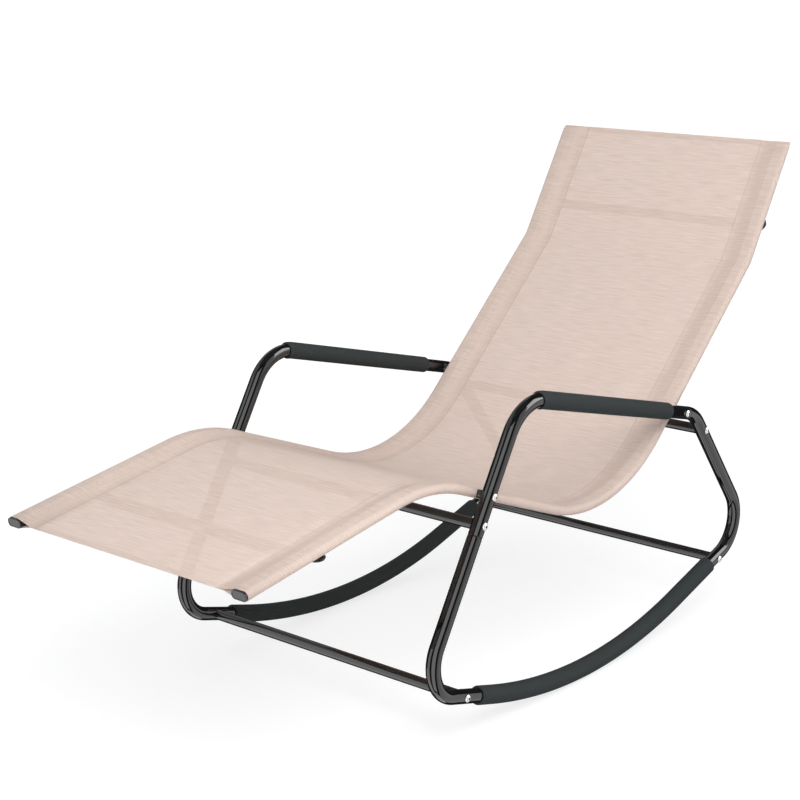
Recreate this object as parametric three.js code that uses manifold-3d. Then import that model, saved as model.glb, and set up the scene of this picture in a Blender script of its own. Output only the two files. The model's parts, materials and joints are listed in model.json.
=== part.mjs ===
// Rocking chaise lounge: a knock-down steel tube frame with a stretched fabric sling.
// Millimetres, +Z up, X across the width, the foot end towards -Y and the head end towards +Y.
// The side profile is drawn in the YZ plane with the lowest point of the rockers at y = 0, z = 0.

import * as THREE from 'three';
import { mergeVertices } from 'three/addons/utils/BufferGeometryUtils.js';
import Module from 'manifold-3d';

const wasm = await Module();
wasm.setup();
const degrees = THREE.MathUtils.degToRad;

// Clearances and shared counts
const CLEARANCE = 0.3;
const CUT_OVERRUN = 5;
const MERGE_TOLERANCE = 0.01;
const TUBE_SIDES = 12;
const BEND_STEP = degrees(13);

// Side frame: the tube and its bends, all lengths along the centre line
const FRAME_SPACING = 580;
const TUBE_DIAMETER = 25;
const TUBE_WALL = 1.2;
const ROCKER_RADIUS = 1021;
const ROCKER_FACET = degrees(3);
const FRONT_RUN_SLOPE = degrees(15.9);
const FRONT_RUN = 194;
const REAR_RUN_SLOPE = degrees(16.9);
const REAR_RUN = 274;
const LEG_LENGTH = 516;
const LEG_SLOPE = degrees(59.6);
const ARM_LENGTH = 563;
const ARM_SLOPE = degrees(14);
const ARM_FRONT_BEND = 85.5;
const FRONT_LOWER_BEND = 66.5;
const REAR_LOWER_BEND = 70;
const REAR_UPPER_BEND = 73.5;

// Plug joints between the arm tube and the rocker tube
const LEG_JOINT = 241;
const ARM_JOINT = 33;
const NECK_LENGTH = 45;
const SHOULDER_LENGTH = 4;

// Foam sleeves
const FOAM_WALL = 3;
const ROCKER_FOAM_EXTRA = 0.5;
const ARM_FOAM_REAR = 99;
const FOAM_EDGE = 3;
const ROCKER_FOAM_FRONT = 155.5;
const ROCKER_FOAM_REAR = 149.5;

// Crossbars between the side frames, placed along the frame tubes
const BAR_DIAMETER = 19;
const BAR_WALL = 1.2;
const FRONT_LOWER_BAR = 113;
const MID_BAR = 221;
const REAR_LOWER_BAR = 124;
const REAR_UPPER_BAR = 47;
const PLUG_LENGTH = 26;

// Seat rails, lengths along the centre line
const RAIL_SPACING = 508;
const RAIL_WIDTH = 30;
const RAIL_HEIGHT = 15;
const RAIL_WALL = 1.2;
const SEAT_BOLT = 171;
const BACK_BOLT = 44;
const FOOT_RUN = 428.5;
const FOOT_SLOPE = degrees(9.4);
const SEAT_FRONT_RUN = 119;
const SEAT_SLOPE = degrees(20.6);
const BACK_SLOPE = degrees(42.8);
const BACK_RUN = 363;
const HEAD_SLOPE = degrees(58.4);
const HEAD_RUN = 247.5;
const KNEE_BEND = 308;
const HIP_BEND = 318;
const HEAD_BEND = 60;
const SPLICE_PLACE = 115;
const SPIGOT_LENGTH = 80;
const SPIGOT_WALL = 1.2;

// Plastic end caps of the rails
const CAP_FLANGE = 3;
const CAP_PLUG = 15;

// Braces between the rails: round in the middle, pressed flat at both ends
const BRACE_DIAMETER = 19;
const BRACE_WALL = 1.2;
const BRACE_END_HEIGHT = 6;
const BRACE_END_WIDTH = 26.4;
const BRACE_OVERHANG = 0.5;
const BRACE_DROP = 17.5;
const BRACE_BEND_PLACE = 200;
const BRACE_FLAT_LENGTH = 32;
const FOOT_BRACE = 161;
const HEAD_BRACE = 84;

// Fabric sling
const FABRIC = 0.8;
const SEAM_INSET = 21.5;
const SLING_FOOT_MARGIN = 4;
const HEM_LENGTH = 11;
const HEM_LAYERS = 2;

// Fasteners
const BOLT_DIAMETER = 6;
const BOLT_HEAD_DIAMETER = 13;
const BOLT_HEAD_HEIGHT = 3.6;
const BOLT_REACH = 45;
const SOCKET_WIDTH = 4;
const SOCKET_DEPTH = 2;
const SPACER_DIAMETER = 14.5;
const RAIL_NUT_DIAMETER = 9;
const RAIL_NUT_LENGTH = 14;
const SCREW_DIAMETER = 4;
const SCREW_HEAD_DIAMETER = 9;
const SCREW_HEAD_HEIGHT = 2.2;
const SCREW_REACH = 14;

// Materials
const gloss_steel = new THREE.MeshStandardMaterial({ color: 0x17181a, roughness: 0.28, metalness: 0.5 });
const foam_rubber = new THREE.MeshStandardMaterial({ color: 0x33373a, roughness: 0.85, metalness: 0 });
const beige_mesh = new THREE.MeshStandardMaterial({ color: 0xd6c1b3, roughness: 0.8, metalness: 0 });
const black_plastic = new THREE.MeshStandardMaterial({ color: 0x2b2c2e, roughness: 0.5, metalness: 0 });
const zinc = new THREE.MeshStandardMaterial({ color: 0xb9bab6, roughness: 0.32, metalness: 0.9 });

const chair = new THREE.Group();

// Points in the side plane are Vector2 with x standing for Y and y standing for Z
const place = (y, z) => new THREE.Vector2(y, z);
const heading = (angle) => place(Math.cos(angle), Math.sin(angle));
const along = (from, direction, distance) => from.clone().addScaledVector(direction, distance);
const direction_to = (from, to) => to.clone().sub(from).normalize();

function crossing(from_a, heading_a, from_b, heading_b) {
  const gap = from_b.clone().sub(from_a);
  return along(from_a, heading_a, gap.cross(heading_b) / heading_a.cross(heading_b));
}

// Stations along a bent tube: each has its point, its tangent and its distance from the start
function bent_route(corners, bends) {
  const stations = [];
  const add = (point, tangent) => stations.push({ point, tangent });
  add(corners[0], direction_to(corners[0], corners[1]));
  for (let i = 1; i < corners.length - 1; i += 1) {
    const before = direction_to(corners[i - 1], corners[i]);
    const after = direction_to(corners[i], corners[i + 1]);
    const turn = Math.atan2(before.cross(after), before.dot(after));
    const { radius, angles } = bends[i - 1](turn);
    const start = along(corners[i], before, -radius * Math.tan(Math.abs(turn) / 2));
    const centre = along(start, place(-before.y, before.x), Math.sign(turn) * radius);
    for (const angle of angles) {
      add(start.clone().rotateAround(centre, angle), before.clone().rotateAround(place(0, 0), angle));
    }
  }
  const last = corners.length - 1;
  add(corners[last], direction_to(corners[last - 1], corners[last]));
  let distance = 0;
  stations.forEach((station, i) => {
    if (i > 0) distance += station.point.distanceTo(stations[i - 1].point);
    station.distance = distance;
  });
  return stations;
}

// A bend of one radius, in even steps
const even_bend = (radius) => (turn) => {
  const count = Math.max(2, Math.ceil(Math.abs(turn) / BEND_STEP));
  return { radius, angles: Array.from({ length: count + 1 }, (_, i) => (turn * i) / count) };
};

// The part of a route between two distances, with new end stations there
function stretch(route, from, to) {
  const at = (distance) => {
    const next = Math.max(1, route.findIndex((station) => station.distance >= distance));
    const a = route[next - 1];
    const b = route[next];
    const share = (distance - a.distance) / (b.distance - a.distance);
    return { point: a.point.clone().lerp(b.point, share), tangent: direction_to(a.point, b.point), distance };
  };
  const inside = route.filter((station) => station.distance > from + CLEARANCE
    && station.distance < to - CLEARANCE);
  return [at(from), ...inside, at(to)];
}

// A curve whose even steps are the stations, so that straight runs need no rings
class StationCurve extends THREE.Curve {
  constructor(stations, x) {
    super();
    this.stations = stations;
    this.x = x;
  }

  pick(share) {
    return this.stations[Math.round(share * (this.stations.length - 1))];
  }

  getPointAt(share, target = new THREE.Vector3()) {
    const { point } = this.pick(share);
    return target.set(this.x, point.x, point.y);
  }

  getTangentAt(share, target = new THREE.Vector3()) {
    const { tangent } = this.pick(share);
    return target.set(0, tangent.x, tangent.y);
  }
}

// Round sections are regular polygons, and a diameter is measured across their flats
const corner_radius = (diameter, sides) => diameter / 2 / Math.cos(Math.PI / sides);

// Outlines of cross sections, x across the chair and y square to the route
function round_points(diameter, sides = TUBE_SIDES) {
  return Array.from({ length: sides }, (_, i) => {
    const angle = (Math.PI * 2 * (i + 0.5)) / sides;
    return new THREE.Vector2(Math.cos(angle), Math.sin(angle)).multiplyScalar(corner_radius(diameter, sides));
  });
}

function oval_points(width, height) {
  const radius = height / 2;
  const flat = width / 2 - radius;
  const half = TUBE_SIDES / 2;
  const points = [];
  for (const side of [1, -1]) {
    for (let i = 0; i <= half; i += 1) {
      const angle = (Math.PI * i) / half - Math.PI / 2;
      const corner = new THREE.Vector2(Math.cos(angle) * radius + flat, Math.sin(angle) * radius);
      points.push(corner.multiplyScalar(side));
    }
  }
  return points;
}

// An oval of a fixed count of points, round when its width and height are equal
function oval_of(width, height) {
  const radius = Math.min(width, height) / 2;
  return Array.from({ length: TUBE_SIDES }, (_, i) => {
    const angle = (Math.PI * 2 * (i + 0.5)) / TUBE_SIDES;
    const flat = Math.sign(Math.cos(angle)) * (width / 2 - radius);
    return new THREE.Vector2(Math.cos(angle) * radius + flat, Math.sin(angle) * radius);
  });
}

function ring_shape(outer, ...inner) {
  const shape = new THREE.Shape(outer);
  shape.holes = inner.map((points) => new THREE.Path(points));
  return shape;
}

// Geometry helpers
function sweep(shape, stations, x = 0) {
  const path = new StationCurve(stations, x);
  const steps = stations.length - 1;
  return new THREE.ExtrudeGeometry(shape, { steps, bevelEnabled: false, extrudePath: path });
}

// A closed body through rings of points that all have the same count
function loft(rings) {
  const count = rings[0].length;
  const positions = rings.flat().flatMap((point) => [point.x, point.y, point.z]);
  const index = [];
  for (let ring = 0; ring < rings.length - 1; ring += 1) {
    for (let i = 0; i < count; i += 1) {
      const a = ring * count + i;
      const b = ring * count + ((i + 1) % count);
      index.push(a, b, b + count, a, b + count, a + count);
    }
  }
  const last = (rings.length - 1) * count;
  for (let i = 1; i < count - 1; i += 1) {
    index.push(0, i + 1, i, last, last + i, last + i + 1);
  }
  const geometry = new THREE.BufferGeometry();
  geometry.setAttribute('position', new THREE.Float32BufferAttribute(positions, 3));
  geometry.setIndex(index);
  return geometry;
}

// A turned body along X, its profile given as [distance along X, radius] pairs
function turned(profile, sides = TUBE_SIDES) {
  const points = profile.map(([x, radius]) => new THREE.Vector2(corner_radius(2 * radius, sides), x));
  const geometry = new THREE.LatheGeometry(points, sides);
  geometry.rotateY(Math.PI / sides);
  geometry.rotateZ(-Math.PI / 2);
  return geometry;
}

// A hollow or solid straight tube along X between two places
function straight_tube(from, to, outer_diameter, inner_diameter = 0, sides = TUBE_SIDES) {
  const outer = outer_diameter / 2;
  const inner = inner_diameter / 2;
  const profile = [[from, inner], [from, outer], [to, outer], [to, inner]];
  if (inner > 0) profile.push([from, inner]);
  return turned(profile, sides);
}

// Boolean joins and cuts
function solid_of(geometry) {
  const bare = geometry.clone();
  bare.deleteAttribute('normal');
  bare.deleteAttribute('uv');
  const merged = mergeVertices(bare);
  const vertProperties = Float32Array.from(merged.attributes.position.array);
  const triVerts = Uint32Array.from(merged.index.array);
  return new wasm.Manifold(new wasm.Mesh({ numProp: 3, vertProperties, triVerts }));
}

function geometry_of(solid) {
  const mesh = solid.getMesh();
  const geometry = new THREE.BufferGeometry();
  geometry.setAttribute('position', new THREE.BufferAttribute(Float32Array.from(mesh.vertProperties), 3));
  geometry.setIndex(new THREE.BufferAttribute(Uint32Array.from(mesh.triVerts), 1));
  return geometry;
}

function shaped(base, joined, cut) {
  let solid = solid_of(base);
  for (const piece of joined) solid = solid.add(solid_of(piece));
  for (const piece of cut) solid = solid.subtract(solid_of(piece));
  return geometry_of(solid.asOriginal().simplify(MERGE_TOLERANCE));
}

function add_piece(name, geometry, material, position = null) {
  const mesh = new THREE.Mesh(geometry, material);
  mesh.name = name;
  if (position) mesh.position.copy(position);
  mesh.geometry.computeVertexNormals();
  chair.add(mesh);
  return mesh;
}

// A helper for geometry that was made along X or around the origin: turn it in the side plane, then move it
function seated(geometry, angle, x, point) {
  geometry.rotateX(angle);
  geometry.translate(x, point.x, point.y);
  return geometry;
}

const slope_of = (tangent) => Math.atan2(tangent.y, tangent.x);

// The side frame's corners, from the rocker outwards
const foam_outer = TUBE_DIAMETER + 2 * (FOAM_WALL + CLEARANCE);
const rocker_foam_outer = foam_outer + 2 * ROCKER_FOAM_EXTRA;
const rocker_centre = place(0, ROCKER_RADIUS + rocker_foam_outer / 2);
const rocker_bottom = place(0, rocker_foam_outer / 2);
const rocker_front = rocker_bottom.clone().rotateAround(rocker_centre, -FRONT_RUN_SLOPE);
const rocker_rear = rocker_bottom.clone().rotateAround(rocker_centre, REAR_RUN_SLOPE);
const front_corner = along(rocker_front, heading(Math.PI - FRONT_RUN_SLOPE), FRONT_RUN);
const rear_corner = along(rocker_rear, heading(REAR_RUN_SLOPE), REAR_RUN);
const arm_front_corner = along(front_corner, heading(LEG_SLOPE), LEG_LENGTH);
const arm_rear_corner = along(arm_front_corner, heading(-ARM_SLOPE), ARM_LENGTH);
const rocker_corner = crossing(front_corner, heading(-FRONT_RUN_SLOPE), rear_corner, heading(REAR_RUN_SLOPE));
const leg_down = heading(LEG_SLOPE + Math.PI);
const arm_forward = heading(Math.PI - ARM_SLOPE);
const upright_down = direction_to(arm_rear_corner, rear_corner);

// Bolt places on the tube centre lines
const seat_bolt = along(arm_front_corner, leg_down, SEAT_BOLT);
const mid_bolt = along(arm_front_corner, leg_down, MID_BAR);
const back_bolt = along(arm_rear_corner, arm_forward, BACK_BOLT);
const upper_bolt = along(arm_rear_corner, upright_down, REAR_UPPER_BAR);
const front_bolt = along(front_corner, heading(-FRONT_RUN_SLOPE), FRONT_LOWER_BAR);
const rear_bolt = along(rear_corner, heading(REAR_RUN_SLOPE + Math.PI), REAR_LOWER_BAR);

// The long rocker bend: its middle facet lies level on the ground
function rocker_bend(turn) {
  const angles = [0];
  const lowest = FRONT_RUN_SLOPE;
  for (let angle = lowest - ROCKER_FACET / 2; angle > ROCKER_FACET / 2; angle -= ROCKER_FACET) {
    angles.push(angle);
  }
  for (let angle = lowest + ROCKER_FACET / 2; angle < turn - ROCKER_FACET / 2; angle += ROCKER_FACET) {
    angles.push(angle);
  }
  angles.push(turn);
  return { radius: ROCKER_RADIUS, angles: angles.sort((a, b) => a - b) };
}

// Centre lines of the two frame tubes
const leg_joint = along(arm_front_corner, leg_down, LEG_JOINT);
const arm_joint = along(arm_rear_corner, arm_forward, ARM_JOINT);
const arm_route = bent_route([arm_joint, arm_front_corner, leg_joint], [even_bend(ARM_FRONT_BEND)]);
const rocker_route = bent_route(
  [leg_joint, front_corner, rocker_corner, rear_corner, arm_rear_corner, arm_joint],
  [even_bend(FRONT_LOWER_BEND), rocker_bend, even_bend(REAR_LOWER_BEND), even_bend(REAR_UPPER_BEND)],
);

// Seat rail centre line: its straight runs pass through the seat bolt and the back bolt
const seat_back = heading(-SEAT_SLOPE);
const back_up = heading(BACK_SLOPE);
const knee_corner = along(seat_bolt, seat_back, -SEAT_FRONT_RUN);
const hip_corner = crossing(seat_bolt, seat_back, back_bolt, back_up);
const head_corner = along(back_bolt, back_up, BACK_RUN);
const foot_end = along(knee_corner, heading(FOOT_SLOPE), -FOOT_RUN);
const head_end = along(head_corner, heading(HEAD_SLOPE), HEAD_RUN);
const rail_route = bent_route(
  [foot_end, knee_corner, hip_corner, head_corner, head_end],
  [even_bend(KNEE_BEND), even_bend(HIP_BEND), even_bend(HEAD_BEND)],
);
const rail_length = rail_route[rail_route.length - 1].distance;

// The distance along a route at which a place lies
function distance_at(route, target) {
  let best = { gap: Infinity, distance: 0 };
  for (let i = 1; i < route.length; i += 1) {
    const a = route[i - 1];
    const b = route[i];
    const step = b.point.clone().sub(a.point);
    const share = THREE.MathUtils.clamp(target.clone().sub(a.point).dot(step) / step.lengthSq(), 0, 1);
    const gap = a.point.clone().addScaledVector(step, share).distanceTo(target);
    if (gap < best.gap) best = { gap, distance: a.distance + share * (b.distance - a.distance) };
  }
  return best.distance;
}

// Frame tubes: the rocker tube's necked ends plug into the arm tube
const tube_bore = TUBE_DIAMETER - 2 * TUBE_WALL;
const neck_diameter = tube_bore - 2 * CLEARANCE;
const neck_bore = neck_diameter - 2 * TUBE_WALL;
const tube_shape = ring_shape(round_points(TUBE_DIAMETER), round_points(tube_bore));
const shoulder_shape = ring_shape(round_points(TUBE_DIAMETER), round_points(neck_bore));
const neck_shape = ring_shape(round_points(neck_diameter), round_points(neck_bore));
const bolt_hole = BOLT_DIAMETER + 2 * CLEARANCE;

function straight_stations(from, to) {
  const tangent = direction_to(from, to);
  return [{ point: from, tangent }, { point: to, tangent }];
}

function bolt_cut(point, x) {
  const reach = TUBE_DIAMETER / 2 + CUT_OVERRUN;
  return seated(straight_tube(-reach, reach, bolt_hole), 0, x, point);
}

function neck_at(joint, into_arm, x) {
  const root = along(joint, into_arm, -SHOULDER_LENGTH);
  const tip = along(joint, into_arm, NECK_LENGTH);
  return [
    sweep(shoulder_shape, straight_stations(root, joint), x),
    sweep(neck_shape, straight_stations(root, tip), x),
  ];
}

const sides = [{ side: 'left', sign: -1 }, { side: 'right', sign: 1 }];
for (const { side, sign } of sides) {
  const x = (sign * FRAME_SPACING) / 2;
  const holes = [seat_bolt, mid_bolt, back_bolt].map((point) => bolt_cut(point, x));
  const arm_from = CLEARANCE;
  const arm_to = arm_route[arm_route.length - 1].distance - CLEARANCE;
  const arm_tube = sweep(tube_shape, stretch(arm_route, arm_from, arm_to), x);
  add_piece(`arm_tube_${side}`, shaped(arm_tube, [], holes), gloss_steel);

  const necks = [
    ...neck_at(leg_joint, leg_down.clone().negate(), x),
    ...neck_at(arm_joint, arm_forward, x),
  ];
  const rocker_holes = [mid_bolt, back_bolt, upper_bolt, front_bolt, rear_bolt].map((point) => bolt_cut(point, x));
  const rocker_tube = sweep(tube_shape, rocker_route, x);
  add_piece(`rocker_tube_${side}`, shaped(rocker_tube, necks, rocker_holes), gloss_steel);
}

// Foam sleeves on the arms and on the rockers, with eased ends
function foam_rings(stations, x, outer_diameter) {
  const rings = { outer: [], inner: [] };
  const bore = TUBE_DIAMETER + 2 * CLEARANCE;
  const last = stations.length - 1;
  const eased = outer_diameter - FOAM_EDGE;
  const row = (point, tangent, diameter) => {
    const up = new THREE.Vector3(0, -tangent.y, tangent.x);
    return round_points(diameter).map((corner) => new THREE.Vector3(x - corner.x, point.x, point.y)
      .addScaledVector(up, corner.y));
  };
  stations.forEach(({ point, tangent }, i) => {
    if (i === 0) {
      rings.outer.push(row(point, tangent, eased), row(along(point, tangent, FOAM_EDGE), tangent, outer_diameter));
    } else if (i === last) {
      rings.outer.push(row(along(point, tangent, -FOAM_EDGE), tangent, outer_diameter), row(point, tangent, eased));
    } else {
      rings.outer.push(row(point, tangent, outer_diameter));
    }
    const push = i === 0 ? -CUT_OVERRUN : 0;
    const pull = i === last ? CUT_OVERRUN : push;
    rings.inner.push(row(along(point, tangent, pull), tangent, bore));
  });
  return rings;
}

function foam_sleeve(stations, x, outer_diameter) {
  const { outer, inner } = foam_rings(stations, x, outer_diameter);
  return shaped(loft(outer), [], [loft(inner)]);
}

const arm_foam_from = ARM_FOAM_REAR - ARM_JOINT;
const arm_bend_share = 0.87;
const first_facet = arm_route[2].distance - arm_route[1].distance;
const arm_foam_to = arm_route[1].distance + first_facet * arm_bend_share;
const front_run_start = distance_at(rocker_route, front_bolt) - FRONT_LOWER_BAR;
const rear_run_end = distance_at(rocker_route, rear_bolt) + REAR_LOWER_BAR;
const rocker_foam_from = front_run_start + ROCKER_FOAM_FRONT;
const rocker_foam_to = rear_run_end - ROCKER_FOAM_REAR;
for (const { side, sign } of sides) {
  const x = (sign * FRAME_SPACING) / 2;
  const arm_stations = stretch(arm_route, arm_foam_from, arm_foam_to);
  add_piece(`arm_foam_${side}`, foam_sleeve(arm_stations, x, foam_outer), foam_rubber);
  const rocker_stations = stretch(rocker_route, rocker_foam_from, rocker_foam_to);
  add_piece(`rocker_foam_${side}`, foam_sleeve(rocker_stations, x, rocker_foam_outer), foam_rubber);
}

// Crossbars of the frame: each end is coped to sit on its tube and holds a threaded plug
const bar_bore = BAR_DIAMETER - 2 * BAR_WALL;
const plug_diameter = bar_bore - 2 * CLEARANCE;
const plug_outer_end = (FRAME_SPACING - TUBE_DIAMETER) / 2 - CLEARANCE;
const tube_seat = TUBE_DIAMETER + 2 * CLEARANCE;

function cope(point, tangent, x) {
  const cutter = straight_tube(-BAR_DIAMETER, BAR_DIAMETER, tube_seat);
  cutter.rotateZ(Math.PI / 2);
  return seated(cutter, slope_of(tangent), x, point);
}

const frame_bars = [
  { name: 'front_lower', point: front_bolt, tangent: heading(-FRONT_RUN_SLOPE) },
  { name: 'mid', point: mid_bolt, tangent: leg_down },
  { name: 'rear_lower', point: rear_bolt, tangent: heading(REAR_RUN_SLOPE) },
  { name: 'rear_upper', point: upper_bolt, tangent: upright_down },
];
for (const { name, point, tangent } of frame_bars) {
  const half = FRAME_SPACING / 2;
  const bar = seated(straight_tube(-half, half, BAR_DIAMETER, bar_bore), 0, 0, point);
  const copes = [cope(point, tangent, half), cope(point, tangent, -half)];
  add_piece(`${name}_crossbar`, shaped(bar, [], copes), gloss_steel);
  for (const { side, sign } of sides) {
    const inner_end = plug_outer_end - PLUG_LENGTH;
    const plug = straight_tube(inner_end, plug_outer_end, plug_diameter, bolt_hole);
    if (sign < 0) plug.rotateY(Math.PI);
    add_piece(`${name}_bar_plug_${side}`, seated(plug, 0, 0, point), zinc);
  }
}

// Seat rails in two lengths a side, joined on a hidden spigot, with caps at both ends
const rail_outline = oval_points(RAIL_WIDTH, RAIL_HEIGHT);
const rail_bore_width = RAIL_WIDTH - 2 * RAIL_WALL;
const rail_bore_height = RAIL_HEIGHT - 2 * RAIL_WALL;
const rail_shape = ring_shape(rail_outline, oval_points(rail_bore_width, rail_bore_height));
const spigot_width = rail_bore_width - 2 * CLEARANCE;
const spigot_height = rail_bore_height - 2 * CLEARANCE;
const spigot_bore = oval_points(spigot_width - 2 * SPIGOT_WALL, spigot_height - 2 * SPIGOT_WALL);
const spigot_shape = ring_shape(oval_points(spigot_width, spigot_height), spigot_bore);
const nut_hole = RAIL_NUT_DIAMETER + 2 * CLEARANCE;
const screw_hole = SCREW_DIAMETER + 2 * CLEARANCE;
const seat_bolt_place = distance_at(rail_route, seat_bolt);
const splice = seat_bolt_place + SPLICE_PLACE;
const head_corner_place = distance_at(rail_route, head_corner);
const brace_places = [
  { name: 'foot', distance: FOOT_BRACE },
  { name: 'head', distance: head_corner_place + HEAD_BRACE },
];

function station_at(route, distance) {
  return stretch(route, distance, distance + CUT_OVERRUN)[0];
}

// A turned body whose axis stands square to the rail, pointing down from it
function below_rail(geometry, distance, x) {
  const { point, tangent } = station_at(rail_route, distance);
  geometry.rotateY(Math.PI / 2);
  return seated(geometry, slope_of(tangent), x, point);
}

function rail_nut_cut(point, sign) {
  const centre = (sign * RAIL_SPACING) / 2;
  const cutter = straight_tube(0, RAIL_WIDTH / 2 + CUT_OVERRUN, nut_hole);
  if (sign < 0) cutter.rotateY(Math.PI);
  return seated(cutter, 0, centre, point);
}

for (const { side, sign } of sides) {
  const x = (sign * RAIL_SPACING) / 2;
  const screw_cuts = brace_places.map(({ distance }) => below_rail(
    straight_tube(0, RAIL_HEIGHT / 2 + CUT_OVERRUN, screw_hole),
    distance,
    x,
  ));
  const lower_stations = stretch(rail_route, CAP_FLANGE + CLEARANCE, splice - CLEARANCE / 2);
  const lower = sweep(rail_shape, lower_stations, x);
  add_piece(`lower_rail_${side}`, shaped(lower, [], [rail_nut_cut(seat_bolt, sign), screw_cuts[0]]), gloss_steel);
  const upper_end = rail_length - CAP_FLANGE - CLEARANCE;
  const upper = sweep(rail_shape, stretch(rail_route, splice + CLEARANCE / 2, upper_end), x);
  add_piece(`upper_rail_${side}`, shaped(upper, [], [rail_nut_cut(back_bolt, sign), screw_cuts[1]]), gloss_steel);
  const spigot_stations = stretch(rail_route, splice - SPIGOT_LENGTH / 2, splice + SPIGOT_LENGTH / 2);
  add_piece(`rail_spigot_${side}`, sweep(spigot_shape, spigot_stations, x), gloss_steel);

  const flange_shape = ring_shape(rail_outline);
  const plug_shape = ring_shape(oval_points(spigot_width, spigot_height));
  const foot_flange = sweep(flange_shape, stretch(rail_route, 0, CAP_FLANGE), x);
  const foot_plug = sweep(plug_shape, stretch(rail_route, 0, CAP_FLANGE + CAP_PLUG), x);
  add_piece(`foot_cap_${side}`, shaped(foot_flange, [foot_plug], []), black_plastic);
  const head_flange = sweep(flange_shape, stretch(rail_route, rail_length - CAP_FLANGE, rail_length), x);
  const head_plug_from = rail_length - CAP_FLANGE - CAP_PLUG;
  const head_plug = sweep(plug_shape, stretch(rail_route, head_plug_from, rail_length), x);
  add_piece(`head_cap_${side}`, shaped(head_flange, [head_plug], []), black_plastic);
}

// Sling: one sheet with a sleeve sewn along each side, and a hem across the head end
const sleeve_bore = RAIL_HEIGHT / 2 + CLEARANCE;
const sleeve_skin = sleeve_bore + FABRIC;
const rail_flat = (RAIL_WIDTH - RAIL_HEIGHT) / 2;
const seam = RAIL_SPACING / 2 - RAIL_WIDTH / 2 - SEAM_INSET;
const seam_inside_share = 0.1;

// The half outline of a sleeve around a rail, from its lower inner corner round to its upper one
function sleeve_arc(radius) {
  const points = [];
  const centre = RAIL_SPACING / 2;
  const step = (Math.PI * 2) / TUBE_SIDES;
  const outer_steps = TUBE_SIDES / 2;
  const corner = (x, angle) => new THREE.Vector2(x + Math.cos(angle) * radius, Math.sin(angle) * radius);
  points.push(corner(centre - rail_flat, -Math.PI / 2 - step));
  points.push(corner(centre - rail_flat, -Math.PI / 2));
  for (let i = 0; i <= outer_steps; i += 1) points.push(corner(centre + rail_flat, i * step - Math.PI / 2));
  points.push(corner(centre - rail_flat, Math.PI / 2));
  points.push(corner(centre - rail_flat, Math.PI / 2 + step));
  return points;
}

const mirrored = (points) => points.map((point) => new THREE.Vector2(-point.x, point.y)).reverse();
const half_sheet = FABRIC / 2;
const right_half = [
  new THREE.Vector2(seam, -half_sheet),
  ...sleeve_arc(sleeve_skin),
  new THREE.Vector2(seam, half_sheet),
];
const right_bore = [new THREE.Vector2(seam + SEAM_INSET * seam_inside_share, 0), ...sleeve_arc(sleeve_bore)];
const sling_shape = ring_shape([...right_half, ...mirrored(right_half)], right_bore, mirrored(right_bore));
const pocket_end = rail_length + CLEARANCE;
const hem_end = along(head_end, heading(HEAD_SLOPE), HEM_LENGTH);
const sling_route = bent_route(
  [foot_end, knee_corner, hip_corner, head_corner, hem_end],
  [even_bend(KNEE_BEND), even_bend(HIP_BEND), even_bend(HEAD_BEND)],
);
const sling_body = sweep(sling_shape, stretch(sling_route, SLING_FOOT_MARGIN, pocket_end + FABRIC));

// The closed head end of a sleeve: it flattens from around the rail down to the hem
function pocket_tip(x) {
  const ring = (distance, height) => oval_of(RAIL_WIDTH + 2 * CLEARANCE + FABRIC, height)
    .map((corner) => new THREE.Vector3(-corner.x, distance, corner.y));
  const thick = RAIL_HEIGHT + 2 * CLEARANCE + FABRIC;
  const thin = HEM_LAYERS * FABRIC;
  const tip = loft([
    ring(CLEARANCE, thick),
    ring(CLEARANCE + FABRIC, thick),
    ring(HEM_LENGTH - FABRIC, thin),
  ]);
  return seated(tip, HEAD_SLOPE, x, head_end);
}

const hem_width = RAIL_SPACING + RAIL_WIDTH + 2 * (CLEARANCE + FABRIC);
const hem = new THREE.BoxGeometry(hem_width, HEM_LENGTH - CLEARANCE, HEM_LAYERS * FABRIC);
hem.translate(0, (HEM_LENGTH + CLEARANCE) / 2, 0);
const head_fabric = [seated(hem, HEAD_SLOPE, 0, head_end)];
const fabric_cuts = [];
for (const { sign } of sides) {
  for (const point of [seat_bolt, back_bolt]) {
    const cutter = straight_tube(0, FRAME_SPACING / 2, bolt_hole);
    if (sign < 0) cutter.rotateY(Math.PI);
    fabric_cuts.push(seated(cutter, 0, (sign * RAIL_SPACING) / 2, point));
  }
  for (const { distance } of brace_places) {
    const x = (sign * RAIL_SPACING) / 2;
    fabric_cuts.push(below_rail(straight_tube(0, RAIL_HEIGHT + CUT_OVERRUN, screw_hole), distance, x));
  }
}
for (const { sign } of sides) head_fabric.push(pocket_tip((sign * RAIL_SPACING) / 2));
add_piece('sling', shaped(sling_body, head_fabric, fabric_cuts), beige_mesh);

// Braces between the rails
const brace_top = sleeve_skin + CLEARANCE;
const brace_end_centre = brace_top + BRACE_END_HEIGHT / 2;
const brace_half = RAIL_SPACING / 2 + RAIL_WIDTH / 2 + BRACE_OVERHANG;
const flat_start = brace_half - BRACE_FLAT_LENGTH;

function brace_ring(x, drop, width, height) {
  return oval_of(width, height).map((corner) => new THREE.Vector3(x, corner.x, corner.y - drop));
}

const tip_share = 0.45;
const tip_inset = BRACE_END_WIDTH / 4;

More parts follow.
